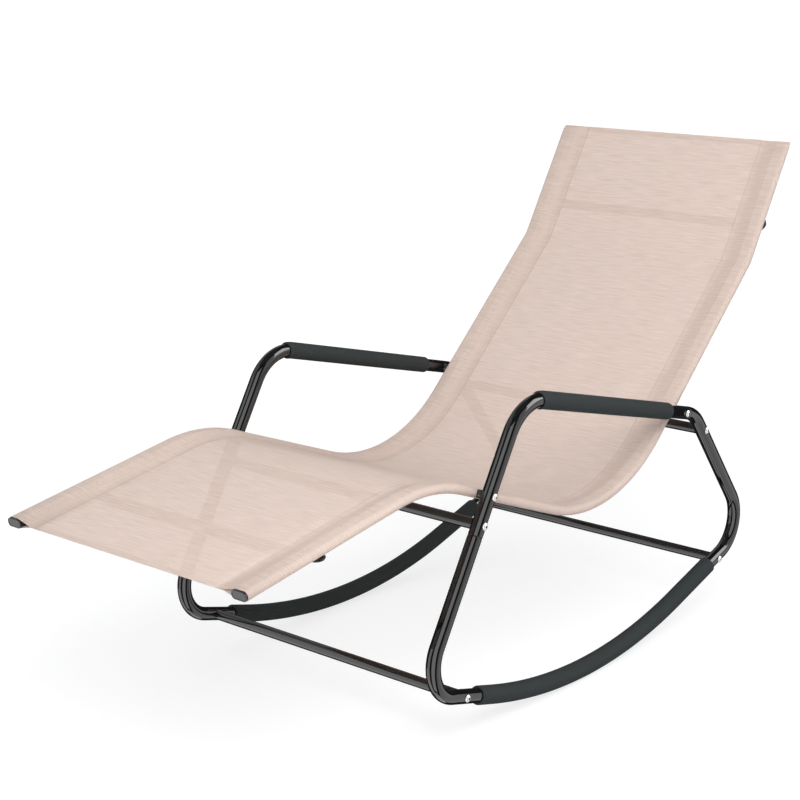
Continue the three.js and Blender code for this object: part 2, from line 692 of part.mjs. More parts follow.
// The rings of a whole brace; an inset makes the rings of its bore, whose pressed tips stay shut
function brace_rings(inset) {
  const round = BRACE_DIAMETER - 2 * inset;
  const pressed = [brace_end_centre, BRACE_END_WIDTH - 2 * inset, BRACE_END_HEIGHT - 2 * inset];
  const half = [
    [0, BRACE_DROP, round, round],
    [BRACE_BEND_PLACE, BRACE_DROP, round, round],
    [flat_start, ...pressed],
    [brace_half - tip_inset - inset, ...pressed],
  ];
  if (inset === 0) half.push([brace_half, brace_end_centre, BRACE_END_WIDTH * tip_share, BRACE_END_HEIGHT]);
  return [
    ...half.slice(1).reverse().map(([x, ...rest]) => brace_ring(-x, ...rest)),
    ...half.map(([x, ...rest]) => brace_ring(x, ...rest)),
  ];
}

for (const { name, distance } of brace_places) {
  const { point, tangent } = station_at(rail_route, distance);
  const bar = seated(loft(brace_rings(0)), slope_of(tangent), 0, point);
  const bore = seated(loft(brace_rings(BRACE_WALL)), slope_of(tangent), 0, point);
  const cuts = sides.map(({ sign }) => below_rail(
    straight_tube(0, RAIL_WIDTH, screw_hole),
    distance,
    (sign * RAIL_SPACING) / 2,
  ));
  add_piece(`${name}_brace`, shaped(bar, [], [bore, ...cuts]), gloss_steel);
}

// Bolts: a domed head with a hex socket outside the tube, the shank through the frame
function bolt_geometry(reach) {
  const seat = TUBE_DIAMETER / 2 + CLEARANCE;
  const head = BOLT_HEAD_DIAMETER / 2;
  const rim_share = 0.35;
  const top_share = 0.55;
  const profile = [
    [seat - reach, 0],
    [seat - reach, BOLT_DIAMETER / 2],
    [seat, BOLT_DIAMETER / 2],
    [seat, head],
    [seat + BOLT_HEAD_HEIGHT * rim_share, head],
    [seat + BOLT_HEAD_HEIGHT, head * top_share],
    [seat + BOLT_HEAD_HEIGHT, 0],
  ];
  const socket = straight_tube(
    seat + BOLT_HEAD_HEIGHT - SOCKET_DEPTH,
    seat + BOLT_HEAD_HEIGHT + CUT_OVERRUN,
    SOCKET_WIDTH,
    0,
    6,
  );
  return shaped(turned(profile), [], [socket]);
}

const bolts = [
  { name: 'seat_rail', point: seat_bolt },
  { name: 'back_rail', point: back_bolt },
  { name: 'mid_bar', point: mid_bolt },
  { name: 'front_lower_bar', point: front_bolt },
  { name: 'rear_lower_bar', point: rear_bolt },
  { name: 'rear_upper_bar', point: upper_bolt },
];
const spacer_from = RAIL_SPACING / 2 + RAIL_WIDTH / 2 + 2 * CLEARANCE + FABRIC;
const spacer_to = (FRAME_SPACING - TUBE_DIAMETER) / 2 - CLEARANCE;
const nut_recess = RAIL_HEIGHT / 2 - Math.sqrt(RAIL_HEIGHT ** 2 - RAIL_NUT_DIAMETER ** 2) / 2;
const nut_face = RAIL_SPACING / 2 + RAIL_WIDTH / 2 - nut_recess;
for (const { side, sign } of sides) {
  const turn = (geometry) => (sign < 0 ? geometry.rotateY(Math.PI) : geometry);
  for (const { name, point } of bolts) {
    const bolt = turn(bolt_geometry(BOLT_REACH).translate(FRAME_SPACING / 2, 0, 0));
    add_piece(`${name}_bolt_${side}`, seated(bolt, 0, 0, point), zinc);
  }
  for (const { name, point } of bolts.slice(0, 2)) {
    const spacer = turn(straight_tube(spacer_from, spacer_to, SPACER_DIAMETER, bolt_hole));
    add_piece(`${name}_spacer_${side}`, seated(spacer, 0, 0, point), black_plastic);
    const nut = turn(straight_tube(nut_face - RAIL_NUT_LENGTH, nut_face, RAIL_NUT_DIAMETER, bolt_hole));
    add_piece(`${name}_nut_${side}`, seated(nut, 0, 0, point), zinc);
  }
}

// Brace screws, driven up into the rails
const screw_seat = brace_top + BRACE_END_HEIGHT + CLEARANCE;
for (const { side, sign } of sides) {
  for (const { name, distance } of brace_places) {
    const screw = turned([
      [screw_seat - SCREW_REACH, 0],
      [screw_seat - SCREW_REACH, SCREW_DIAMETER / 2],
      [screw_seat, SCREW_DIAMETER / 2],
      [screw_seat, SCREW_HEAD_DIAMETER / 2],
      [screw_seat + SCREW_HEAD_HEIGHT, SCREW_DIAMETER / 2],
      [screw_seat + SCREW_HEAD_HEIGHT, 0],
    ]);
    add_piece(`${name}_brace_screw_${side}`, below_rail(screw, distance, (sign * RAIL_SPACING) / 2), zinc);
  }
}

// The origin is the middle of the chair's box, on the ground
const box = new THREE.Box3().setFromObject(chair);
const middle = box.getCenter(new THREE.Vector3());
chair.position.set(-middle.x, -middle.y, -box.min.z);

export default chair;
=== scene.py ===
"""Looks of the rocking chaise lounge. Laid out as an add-on, run as a script."""

import json
import math
from functools import partial
from types import SimpleNamespace

import bmesh
import bpy
from bpy.props import FloatProperty, FloatVectorProperty, PointerProperty
from bpy.types import Operator, Panel, PropertyGroup
from mathutils import Matrix, Vector


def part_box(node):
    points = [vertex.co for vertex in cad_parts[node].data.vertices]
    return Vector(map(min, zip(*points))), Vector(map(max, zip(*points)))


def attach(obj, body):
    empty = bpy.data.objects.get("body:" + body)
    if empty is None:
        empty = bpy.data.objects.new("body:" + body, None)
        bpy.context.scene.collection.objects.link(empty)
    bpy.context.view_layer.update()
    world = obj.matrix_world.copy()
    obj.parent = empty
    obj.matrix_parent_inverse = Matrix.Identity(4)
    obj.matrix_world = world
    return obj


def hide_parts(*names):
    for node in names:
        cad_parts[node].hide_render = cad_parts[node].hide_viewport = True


bl_info = {
    "name": "Rocking Chaise Lounge",
    "version": (1, 0, 0),
    "blender": (4, 5, 0),
    "location": "3D View > Sidebar > Lounge",
    "description": "Builds a rocking mesh lounge around its measured frame",
    "category": "Object",
}

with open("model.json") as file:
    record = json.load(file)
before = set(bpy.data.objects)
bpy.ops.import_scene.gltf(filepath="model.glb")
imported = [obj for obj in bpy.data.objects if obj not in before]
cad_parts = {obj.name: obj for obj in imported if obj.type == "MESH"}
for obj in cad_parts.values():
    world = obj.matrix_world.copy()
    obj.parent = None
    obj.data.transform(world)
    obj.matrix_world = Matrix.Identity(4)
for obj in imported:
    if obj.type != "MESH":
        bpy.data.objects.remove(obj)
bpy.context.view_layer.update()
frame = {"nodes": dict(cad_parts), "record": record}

SIDES = {"left": -1, "right": 1}
LEVEL = Vector((1, 0, 0))
UPRIGHT = Vector((0, 0, 1))


# Sizes of the tubes, the rails and the sling

def length(name, default, description):
    return FloatProperty(
        name=name, description=description, default=default, unit="LENGTH", precision=4)


def degrees(name, default, description):
    return FloatProperty(
        name=name, description=description, default=math.radians(default),
        subtype="ANGLE")


def tint(name, default, description):
    return FloatVectorProperty(
        name=name, description=description, default=default, size=3, subtype="COLOR",
        min=0, max=1)


class LoungeSizes(PropertyGroup):
    """Sections and clearances of the lounge's parts."""

    clearance: length("Clearance", 0.0003, "Gap between parts that slide together")
    frame_spacing: length("Frame Spacing", 0.58, "Between the two side frames")
    tube: length("Frame Tube", 0.025, "Diameter of the frame tube")
    wall: length("Tube Wall", 0.0012, "Wall of every steel tube")
    foam_wall: length("Foam Wall", 0.003, "Thickness of the foam sleeves")
    rocker_foam_extra: length("Rocker Foam Extra", 0.0005, "Thicker wall on the rockers")
    bar: length("Crossbar", 0.019, "Diameter of the crossbars and braces")
    rail_spacing: length("Rail Spacing", 0.508, "Between the two seat rails")
    rail_width: length("Rail Width", 0.03, "Width of the flat-oval rail")
    rail_height: length("Rail Height", 0.015, "Height of the flat-oval rail")
    cap: length("Cap", 0.003, "Length of a cap outside its rail")
    cap_corner: length("Cap Corner", 0.0064, "Corner radius of a cap's face")
    brace_end_width: length("Brace End Width", 0.0264, "Width of a brace's pressed end")
    brace_end_height: length("Brace End Height", 0.006, "Height of a brace's pressed end")
    brace_overhang: length("Brace Overhang", 0.0005, "Brace beyond the rail's side")
    brace_drop: length("Brace Drop", 0.0175, "Brace's middle below the rail's")
    fabric: length("Fabric", 0.0008, "Thickness of the mesh fabric")
    seam: length("Seam", 0.2175, "From the middle of the sling to a sleeve's seam")
    allowance: length("Seam Allowance", 0.01, "Fabric under the sheet inside a seam")
    foot_margin: length("Foot Margin", 0.004, "Bare rail at the foot end")
    hem: length("Hem", 0.011, "Width of the hems across the sling")
    stitch: length("Stitch", 0.0034, "Length of one stitch")
    stitch_pitch: length("Stitch Pitch", 0.005, "From stitch to stitch")
    bolt_head: length("Bolt Head", 0.013, "Diameter of a bolt's domed head")
    bolt_rise: length("Bolt Rise", 0.0036, "Height of a bolt's domed head")
    spacer: length("Spacer", 0.0145, "Diameter of the spacers at the rails")


# Colours, camera and lamp

class LoungeFinishes(PropertyGroup):
    """Colours of the lounge and of the studio."""

    paint: tint("Paint", (0.004, 0.004, 0.0043), "Powder coat on the steel tubes")
    foam: tint("Foam", (0.0347, 0.0415, 0.0425), "Foam sleeves on arms and rockers")
    fabric: tint("Fabric", (0.782, 0.627, 0.552), "Mesh fabric of the sling")
    fabric_dark: tint(
        "Fabric Ribs", (0.625, 0.502, 0.438), "Darker weft ribs of the mesh fabric")
    # The thread colour also tints the cloth along the sewn lines, partly as painted shade
    # of the seam's step
    thread: tint("Thread", (0.55, 0.42, 0.35), "Sewing thread of the sling")
    zinc: tint("Zinc", (0.9, 0.895, 0.88), "Plated bolts and nuts")
    moulding: tint(
        "Moulding", (0.012, 0.012, 0.0125), "Plastic caps, plugs and spacers")
    floor: tint("Floor", (0.8, 0.8, 0.8), "Studio floor")


class LoungeStudio(PropertyGroup):
    """Camera and lamp settings."""

    azimuth: degrees("Azimuth", 40.29, "Camera's turn from the foot end to the near side")
    elevation: degrees("Elevation", 14.35, "Camera's height above the level")
    distance: length("Distance", 3.1449, "Camera's distance from its target")
    lens: FloatProperty(
        name="Lens", description="Camera's focal length in millimetres", default=80.3)
    target_y: length("Target Along", -0.10858, "Camera's target along the lounge")
    target_z: length("Target Height", 0.4943, "Camera's target above the floor")
    frame_shift: FloatProperty(
        name="Frame Shift", description="Half a pixel, as a share of the picture's width",
        default=0.000625, precision=6)
    key_power: FloatProperty(
        name="Key Power", description="Soft lamp right of the camera, in watts", default=64)


# Side view of the lounge, in metres and radians

ROCKER_RADIUS = 1.021
FRONT_RUN_SLOPE = math.radians(15.9)
FRONT_RUN = 0.194
REAR_RUN_SLOPE = math.radians(16.9)
REAR_RUN = 0.274
LEG_LENGTH = 0.516
LEG_SLOPE = math.radians(59.6)
ARM_LENGTH = 0.563
ARM_SLOPE = math.radians(14)
ARM_FRONT_BEND = 0.0855
FRONT_LOWER_BEND = 0.0665
REAR_LOWER_BEND = 0.07
REAR_UPPER_BEND = 0.0735
LEG_JOINT = 0.241
ARM_JOINT = 0.033
ARM_FOAM_REAR = 0.099
ARM_FOAM_IN_BEND = 0.0159
ROCKER_FOAM_FRONT = 0.1555
ROCKER_FOAM_REAR = 0.1495
FRONT_LOWER_BAR = 0.113
MID_BAR = 0.221
REAR_LOWER_BAR = 0.124
REAR_UPPER_BAR = 0.047
SEAT_BOLT = 0.171
BACK_BOLT = 0.044
FOOT_RUN = 0.4285
FOOT_SLOPE = math.radians(9.4)
SEAT_FRONT_RUN = 0.119
SEAT_SLOPE = math.radians(20.6)
BACK_SLOPE = math.radians(42.8)
BACK_RUN = 0.363
HEAD_SLOPE = math.radians(58.4)
HEAD_RUN = 0.2475
KNEE_BEND = 0.308
HIP_BEND = 0.318
HEAD_BEND = 0.06
SPLICE = 0.115
FOOT_BRACE = 0.161
HEAD_BRACE = 0.084
BRACE_BEND = 0.2
BRACE_FLAT = 0.032
THREAD_WIDTH = 0.00044
THREAD_RISE = 0.00028
FULL_TURN = 2 * math.pi
HALF_TURN = math.pi
QUARTER_TURN = math.pi / 2


# Fineness of the drawn shapes, and the distance at which two points are one

ARM_STEP = 0.01
ROCKER_STEP = 0.015
RAIL_STEP = 0.012
LARGEST_TURN = math.radians(4)
TUBE_SEGMENTS = 40
FOAM_SEGMENTS = 48
RAIL_SEGMENTS = 32
CAP_SEGMENTS = 40
BRACE_SEGMENTS = 32
BOLT_SEGMENTS = 30
RIM_ANGLE = 1
SPACER_RIM_ANGLE = 0.9
JOIN = 1e-6
LOOSE_JOIN = 1e-5
NEAR = 0.0005


def heading(angle):
    """A direction in the side view, turning from +Y up to +Z."""
    return Vector((0, math.cos(angle), math.sin(angle)))


def angle_of(direction):
    return math.atan2(direction.z, direction.y)


def turned(point, centre, angle):
    """A point of the side view swung round a centre."""
    return centre + Matrix.Rotation(angle, 3, "X") @ (point - centre)


def crossing(a, toward_a, b, toward_b):
    """Where two lines of the side view meet."""
    gap = b - a
    spread = toward_a.y * toward_b.z - toward_a.z * toward_b.y
    return a + toward_a * ((gap.y * toward_b.z - gap.z * toward_b.y) / spread)


def side_view(sizes):
    """The named corners and bolt places of the side view, in the frame's place."""
    foam_outer = sizes.tube + 2 * (sizes.foam_wall + sizes.clearance)
    low = foam_outer / 2 + sizes.rocker_foam_extra
    p = {"rocker_centre": Vector((0, 0, ROCKER_RADIUS + low))}
    bottom = Vector((0, 0, low))
    front = turned(bottom, p["rocker_centre"], -FRONT_RUN_SLOPE)
    rear = turned(bottom, p["rocker_centre"], REAR_RUN_SLOPE)
    back_up = heading(HALF_TURN - FRONT_RUN_SLOPE)
    p["front"] = front + back_up * FRONT_RUN
    p["rear"] = rear + heading(REAR_RUN_SLOPE) * REAR_RUN
    p["rocker"] = crossing(front, back_up, rear, heading(REAR_RUN_SLOPE))
    p["arm_front"] = p["front"] + heading(LEG_SLOPE) * LEG_LENGTH
    p["arm_rear"] = p["arm_front"] + heading(-ARM_SLOPE) * ARM_LENGTH
    leg_down = heading(LEG_SLOPE + HALF_TURN)
    forward = heading(HALF_TURN - ARM_SLOPE)
    upright_down = (p["rear"] - p["arm_rear"]).normalized()
    p["leg_joint"] = p["arm_front"] + leg_down * LEG_JOINT
    p["arm_joint"] = p["arm_rear"] + forward * ARM_JOINT
    p["seat_bolt"] = p["arm_front"] + leg_down * SEAT_BOLT
    p["mid_bolt"] = p["arm_front"] + leg_down * MID_BAR
    p["back_bolt"] = p["arm_rear"] + forward * BACK_BOLT
    p["upper_bolt"] = p["arm_rear"] + upright_down * REAR_UPPER_BAR
    p["front_bolt"] = p["front"] + heading(-FRONT_RUN_SLOPE) * FRONT_LOWER_BAR
    p["rear_bolt"] = p["rear"] - heading(REAR_RUN_SLOPE) * REAR_LOWER_BAR
    p["knee"] = p["seat_bolt"] - heading(-SEAT_SLOPE) * SEAT_FRONT_RUN
    p["foot_end"] = p["knee"] - heading(FOOT_SLOPE) * FOOT_RUN
    p["hip"] = crossing(
        p["knee"], heading(-SEAT_SLOPE), p["back_bolt"], heading(BACK_SLOPE))
    p["head"] = p["back_bolt"] + heading(BACK_SLOPE) * BACK_RUN
    p["head_end"] = p["head"] + heading(HEAD_SLOPE) * HEAD_RUN
    low_corner, high_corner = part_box("seat_rail_spacer_right")
    shift = (low_corner + high_corner) / 2 - p["seat_bolt"]
    shift.x = 0
    return {name: point + shift for name, point in p.items()}


# Drawing a section out along a route of straight runs and bends

class Route:
    """A path in the side view: corners, and the bend radius at each inner corner."""

    def __init__(self, corners, radii, bend_step):
        self.parts = []
        place = corners[0]
        for i, radius in enumerate(radii, start=1):
            into = (corners[i] - corners[i - 1]).normalized()
            out = (corners[i + 1] - corners[i]).normalized()
            turn = math.remainder(angle_of(out) - angle_of(into), FULL_TURN)
            reach = radius * math.tan(abs(turn) / 2)
            start = corners[i] - into * reach
            side = heading(angle_of(into) + math.copysign(QUARTER_TURN, turn))
            steps = max(2, math.ceil(abs(turn) * radius / bend_step))
            steps = max(steps, math.ceil(abs(turn) / LARGEST_TURN))
            self.add_run(place, start)
            centre = start + side * radius
            self.add_part(start, into, abs(turn) * radius, centre, turn, steps)
            place = turned(start, centre, turn)
        self.add_run(place, corners[-1])
        self.length = sum(part.length for part in self.parts)

    def add_run(self, start, end):
        gap = end - start
        self.add_part(start, gap.normalized(), gap.length)

    def add_part(self, at, toward, length, centre=None, turn=0, steps=1):
        self.parts.append(SimpleNamespace(
            at=at, toward=toward, length=length, centre=centre, turn=turn, steps=steps))

    def station(self, distance):
        """The point and direction at a distance from the start."""
        left = distance
        for part in self.parts:
            if left <= part.length or part is self.parts[-1]:
                break
            left -= part.length
        if part.centre is None:
            return part.at + part.toward * left, part.toward
        turn = part.turn * left / part.length
        toward = Matrix.Rotation(turn, 3, "X") @ part.toward
        return turned(part.at, part.centre, turn), toward

    def bend_middle(self, corner):
        """The distance at the middle of the bend at an inner corner."""
        bend = 2 * corner - 1
        before = sum(part.length for part in self.parts[:bend])
        return before + self.parts[bend].length / 2

    def distance_of(self, point):
        """The distance at which a point of a straight run lies."""
        passed = 0
        for part in self.parts:
            if part.centre is None:
                ahead = (point - part.at).dot(part.toward)
                miss = (part.at + part.toward * ahead - point).length
                if miss < NEAR and -NEAR <= ahead <= part.length + NEAR:
                    return passed + ahead
            passed += part.length
        raise ValueError("the point is on no straight run of the route")


def frame_routes(p):
    """The routes of the arm tube and the rocker tube."""
    arm = Route(
        [p["arm_joint"], p["arm_front"], p["leg_joint"]], [ARM_FRONT_BEND], ARM_STEP)
    rocker = Route(
        [p["leg_joint"], p["front"], p["rocker"], p["rear"], p["arm_rear"],
         p["arm_joint"]],
        [FRONT_LOWER_BEND, ROCKER_RADIUS, REAR_LOWER_BEND, REAR_UPPER_BEND],
        ROCKER_STEP)
    return arm, rocker


def rail_route(p, end):
    """The route of the seat rail, up to an end on the slope behind the head."""
    return Route(
        [p["foot_end"], p["knee"], p["hip"], p["head"], end],
        [KNEE_BEND, HIP_BEND, HEAD_BEND], RAIL_STEP)


def seat_of(point, toward, x=0):
    """Puts a section drawn flat on a station, with its first axis level."""
    rise = toward.cross(LEVEL)
    turn = Matrix((LEVEL, rise, toward)).transposed().to_4x4()
    return Matrix.Translation(point + LEVEL * x) @ turn


def across_seat(spot, sign=1):
    """Puts a section drawn flat on a spot, square to the width."""
    return Matrix.Translation(spot) @ Matrix.Rotation(sign * QUARTER_TURN, 4, "Y")


def verts_in(geometry):
    return [item for item in geometry if isinstance(item, bmesh.types.BMVert)]


def verts_of(edges):
    return list({vert for edge in edges for vert in edge.verts})


def edges_between(verts):
    inside = set(verts)
    found = set()
    for vert in verts:
        found.update(e for e in vert.link_edges if e.other_vert(vert) in inside)
    return list(found)


def measure_on(bm, verts, distance):
    layer = bm.verts.layers.float.get("along")
    if layer:
        for vert in verts:
            vert[layer] = distance


def sweep(bm, parts, centre, axis, angle, steps=1, move=(0, 0, 0), merge=False, copy=False):
    """Spins parts round an axis, and returns the points of the last step."""
    made = bmesh.ops.spin(
        bm, geom=parts, cent=centre, axis=axis, dvec=move, angle=angle, steps=steps,
        use_merge=merge, use_duplicate=copy)
    return verts_in(made["geom_last"])


def draw_run(bm, edges, move, distance=0):
    """Extrudes edges by a straight move and returns the new ones."""
    made = bmesh.ops.extrude_edge_only(bm, edges=edges)["geom"]
    verts = verts_in(made)
    bmesh.ops.translate(bm, verts=verts, vec=move)
    measure_on(bm, verts, distance)
    return edges_between(verts)


def draw_bend(bm, edges, centre, turn, steps, start=0, extent=0):
    """Spins edges round the level axis through a centre and returns the last ones."""
    for i in range(steps):
        verts = sweep(bm, [*verts_of(edges), *edges], centre, LEVEL, turn / steps)
        measure_on(bm, verts, start + extent * (i + 1) / steps)
        edges = edges_between(verts)
    return edges


def draw_along(bm, edges, route, start, end):
    """Draws the edges, which stand at the start distance, out to the end distance."""
    passed = 0
    for part in route.parts:
        low = max(start, passed)
        high = min(end, passed + part.length)
        if high > low + JOIN:
            if part.centre is None:
                edges = draw_run(bm, edges, part.toward * (high - low), high)
            else:
                share = (high - low) / part.length
                steps = max(1, round(part.steps * share))
                edges = draw_bend(
                    bm, edges, part.centre, part.turn * share, steps, low, high - low)
        passed += part.length
    return edges


def round_section(bm, seat, diameter, segments):
    """A circle standing on a seat, as edges."""
    made = bmesh.ops.create_circle(
        bm, cap_ends=False, radius=diameter / 2, segments=segments, matrix=seat)
    return edges_between(made["verts"])


def oval_section(bm, seat, width, height, segments, corner=None):
    """A flat oval, or a rounded rectangle: a circle whose quarters are moved apart."""
    corner = corner or height / 2
    made = bmesh.ops.create_circle(
        bm, cap_ends=False, radius=corner, segments=segments,
        matrix=Matrix.Rotation(math.pi / segments, 4, "Z"))
    verts = made["verts"]
    for axis, size in enumerate((width, height)):
        for sign in (-1, 1):
            half = [v for v in verts if v.co[axis] * sign > 0]
            apart = Vector((0, 0, 0))
            apart[axis] = (size / 2 - corner) * sign
            bmesh.ops.translate(bm, verts=half, vec=apart)
    bmesh.ops.transform(bm, matrix=seat, verts=verts)
    return edges_between(verts)


def sharp_rims(bm, least=RIM_ANGLE):
    """The edges where two faces meet at a sharp angle."""
    return [e for e in bm.edges if e.is_manifold and e.calc_face_angle(0) > least]


def tidy_shell(bm):
    """Joins points that coincide, and turns the faces outwards."""
    bmesh.ops.remove_doubles(bm, verts=bm.verts, dist=JOIN)
    bmesh.ops.recalc_face_normals(bm, faces=bm.faces)


def give_wall(bm, wall):
    """Turns a drawn-out section into a tube with its wall inside."""
    tidy_shell(bm)
    bmesh.ops.solidify(bm, geom=list(bm.faces), thickness=wall)


def soften(bm, edges, offset, segments=2):
    bmesh.ops.bevel(
        bm, geom=edges, offset=offset, offset_type="OFFSET", affect="EDGES",
        segments=segments, profile=0.5, material=-1)


def close_ends(bm):
    """Fills the open rims of a shape."""
    rims = [e for e in bm.edges if e.is_boundary]
    bmesh.ops.holes_fill(bm, edges=rims, sides=0)


def make_mesh(bm, name, material):
    mesh = bpy.data.meshes.new(name)
    bm.to_mesh(mesh)
    bm.free()
    mesh.materials.append(material)
    return mesh


def add_object(name, data):
    made = bpy.data.objects.new(name, data)
    bpy.context.scene.collection.objects.link(made)
    return made


def finish_piece(bm, name, slot, replaced=(), sharp=40, finish=None):
    """Turns a mesh in the making into a piece that stands for its frame nodes."""
    mesh = make_mesh(bm, name, (finish or FINISH_OF_SLOT[slot])())
    mesh.shade_smooth()
    mesh.set_sharp_from_angle(angle=math.radians(sharp))
    piece = add_object(name, mesh)
    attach(piece, "root")
    if replaced:
        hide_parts(*replaced)
    return piece


def cope(verts, sign, point, toward, centre_x, radius, sense):
    """Moves an end ring onto a round tube or rail that runs past it."""
    away = toward.cross(LEVEL)
    for vert in verts:
        off = (vert.co - point).dot(away)
        reach = math.sqrt(max(0, radius * radius - off * off))
        vert.co.x = sign * (centre_x + sense * reach)


def outer_rims(bm, ends, least):
    """The sharp rims that lie further than a distance from both of a tube's ends."""
    return [
        e for e in sharp_rims(bm)
        if all((e.verts[0].co - centre).length > least for centre in ends)]


def tube_piece(route, start, end, x, diameter, wall, edge, segments=TUBE_SEGMENTS):
    """A hollow round tube along a stretch of a route, with softened ends."""
    bm = bmesh.new()
    point, toward = route.station(start)
    ring = round_section(bm, seat_of(point, toward, x), diameter, segments)
    draw_along(bm, ring, route, start, end)
    give_wall(bm, wall)
    ends = [route.station(place)[0] + LEVEL * x for place in (start, end)]
    rims = outer_rims(bm, ends, (diameter - wall) / 2)
    soften(bm, rims, edge, segments=4)
    return bm


# Steel side frames

MOUTH_SHARE = 0.85


class LOUNGE_OT_side_frames(Operator):
    """Bend the arm tubes and the rocker tubes of both side frames"""

    bl_idname = "lounge.side_frames"
    bl_label = "Side Frames"

    def execute(self, context):
        sizes = context.scene.lounge_sizes
        arm, rocker = frame_routes(side_view(sizes))
        gap = sizes.clearance
        for side, sign in SIDES.items():
            x = sign * sizes.frame_spacing / 2
            for name, route in (("arm", arm), ("rocker", rocker)):
                bm = tube_piece(
                    route, gap, route.length - gap, x, sizes.tube, sizes.wall,
                    sizes.wall * MOUTH_SHARE)
                finish_piece(
                    bm, f"{side}_{name}_tube", "frame_steel", [f"{name}_tube_{side}"])
        return {"FINISHED"}


# Foam sleeves

FOAM_EDGE_SHARE = 0.7


class LOUNGE_OT_foam_sleeves(Operator):
    """Pull foam sleeves over the armrests and the rockers"""

    bl_idname = "lounge.foam_sleeves"
    bl_label = "Foam Sleeves"

    def execute(self, context):
        sizes = context.scene.lounge_sizes
        p = side_view(sizes)
        arm, rocker = frame_routes(p)
        bore = sizes.tube + 2 * sizes.clearance
        arm_end = arm.parts[0].length + ARM_FOAM_IN_BEND
        front = rocker.distance_of(p["front_bolt"]) - FRONT_LOWER_BAR
        rear = rocker.distance_of(p["rear_bolt"]) + REAR_LOWER_BAR
        stretches = {
            "arm": (arm, ARM_FOAM_REAR - ARM_JOINT, arm_end, sizes.foam_wall),
            "rocker": (
                rocker, front + ROCKER_FOAM_FRONT, rear - ROCKER_FOAM_REAR,
                sizes.foam_wall + sizes.rocker_foam_extra),
        }
        for side, sign in SIDES.items():
            x = sign * sizes.frame_spacing / 2
            for name, (route, start, end, wall) in stretches.items():
                bm = tube_piece(
                    route, start, end, x, bore + 2 * wall, wall,
                    wall * FOAM_EDGE_SHARE, FOAM_SEGMENTS)
                piece = finish_piece(
                    bm, f"{side}_{name}_foam", "foam", [f"{name}_foam_{side}"])
        return {"FINISHED"}


# Crossbars

class LOUNGE_OT_crossbars(Operator):
    """Set the four round crossbars between the side frames"""

    bl_idname = "lounge.crossbars"
    bl_label = "Crossbars"

    def execute(self, context):
        sizes = context.scene.lounge_sizes
        p = side_view(sizes)
        upright = (p["rear"] - p["arm_rear"]).normalized()
        bars = {
            "front_lower": (p["front_bolt"], heading(-FRONT_RUN_SLOPE)),
            "mid": (p["mid_bolt"], heading(LEG_SLOPE)),
            "rear_lower": (p["rear_bolt"], heading(REAR_RUN_SLOPE)),
            "rear_upper": (p["upper_bolt"], upright),
        }
        half = (sizes.frame_spacing - sizes.tube) / 2
        seat = sizes.tube / 2 + sizes.clearance
        for name, (point, toward) in bars.items():
            bm = bmesh.new()
            ring = round_section(
                bm, across_seat(point - LEVEL * half), sizes.bar, TUBE_SEGMENTS)
            ends = {-1: verts_of(ring), 1: verts_of(draw_run(bm, ring, LEVEL * half * 2))}
            for sign, verts in ends.items():
                cope(verts, sign, point, toward, sizes.frame_spacing / 2, seat, -1)
            give_wall(bm, sizes.wall)
            finish_piece(bm, f"{name}_bar", "bar_steel", [f"{name}_crossbar"])
        return {"FINISHED"}


# Seat rails and their caps

CAP_EDGE_SHARE = 0.2
CAP_FACE_SHARES = ((0.2, 0), (0.05, -0.2), (0.05, 0))
CAP_PLUG_SHARE = 5


def rail_piece(route, start, end, x, sizes):
    bm = bmesh.new()
    point, toward = route.station(start)
    ring = oval_section(
        bm, seat_of(point, toward, x), sizes.rail_width, sizes.rail_height,
        RAIL_SEGMENTS)
    draw_along(bm, ring, route, start, end)
    give_wall(bm, sizes.wall)
    return bm


def cap_piece(point, outward, x, sizes):
    """A rounded plastic cap with a shallow dished face and a plug."""
    bm = bmesh.new()
    seat = seat_of(point, outward, x)
    width, height = sizes.rail_width, sizes.rail_height
    ring = oval_section(bm, seat, width, height, CAP_SEGMENTS, sizes.cap_corner)
    ring = draw_run(bm, ring, outward * sizes.cap)
    bmesh.ops.holes_fill(bm, edges=ring, sides=0)
    soften(bm, ring, sizes.cap * CAP_EDGE_SHARE, segments=3)
    face = [max(bm.faces, key=lambda f: f.calc_center_median().dot(outward))]
    for thickness, depth in CAP_FACE_SHARES:
        bmesh.ops.inset_region(
            bm, faces=face, thickness=sizes.cap * thickness, depth=sizes.cap * depth,
            use_even_offset=True, use_boundary=True)
    inside = 2 * (sizes.wall + sizes.clearance)
    plug = oval_section(bm, seat, width - inside, height - inside, CAP_SEGMENTS)
    rim = [e for e in bm.edges if e.is_boundary]
    bmesh.ops.bridge_loops(bm, edges=list(set(rim) | set(plug)))
    draw_run(bm, plug, outward * -sizes.cap * CAP_PLUG_SHARE)
    close_ends(bm)
    bmesh.ops.recalc_face_normals(bm, faces=bm.faces)
    return bm


class LOUNGE_OT_seat_rails(Operator):
    """Bend the flat-oval seat rails and cap their ends"""

    bl_idname = "lounge.seat_rails"
    bl_label = "Seat Rails"

    def execute(self, context):
        sizes = context.scene.lounge_sizes
        p = side_view(sizes)
        rail = rail_route(p, p["head_end"])
        splice = rail.distance_of(p["seat_bolt"]) + SPLICE
        start = sizes.cap
        end = rail.length - sizes.cap
        gap = sizes.clearance
        stretches = {
            "lower": (start + gap, splice - gap / 2),
            "upper": (splice + gap / 2, end - gap),
        }
        for side, sign in SIDES.items():
            x = sign * sizes.rail_spacing / 2
            for name, (low, high) in stretches.items():
                bm = rail_piece(rail, low, high, x, sizes)
                finish_piece(
                    bm, f"{side}_{name}_rail", "rail_steel", [f"{name}_rail_{side}"])
            for name, distance, sense in (("foot", start, -1), ("head", end, 1)):
                point, toward = rail.station(distance)
                bm = cap_piece(point, toward * sense, x, sizes)
                finish_piece(bm, f"{side}_{name}_cap", "plastic", [f"{name}_cap_{side}"])
        return {"FINISHED"}


# Sling

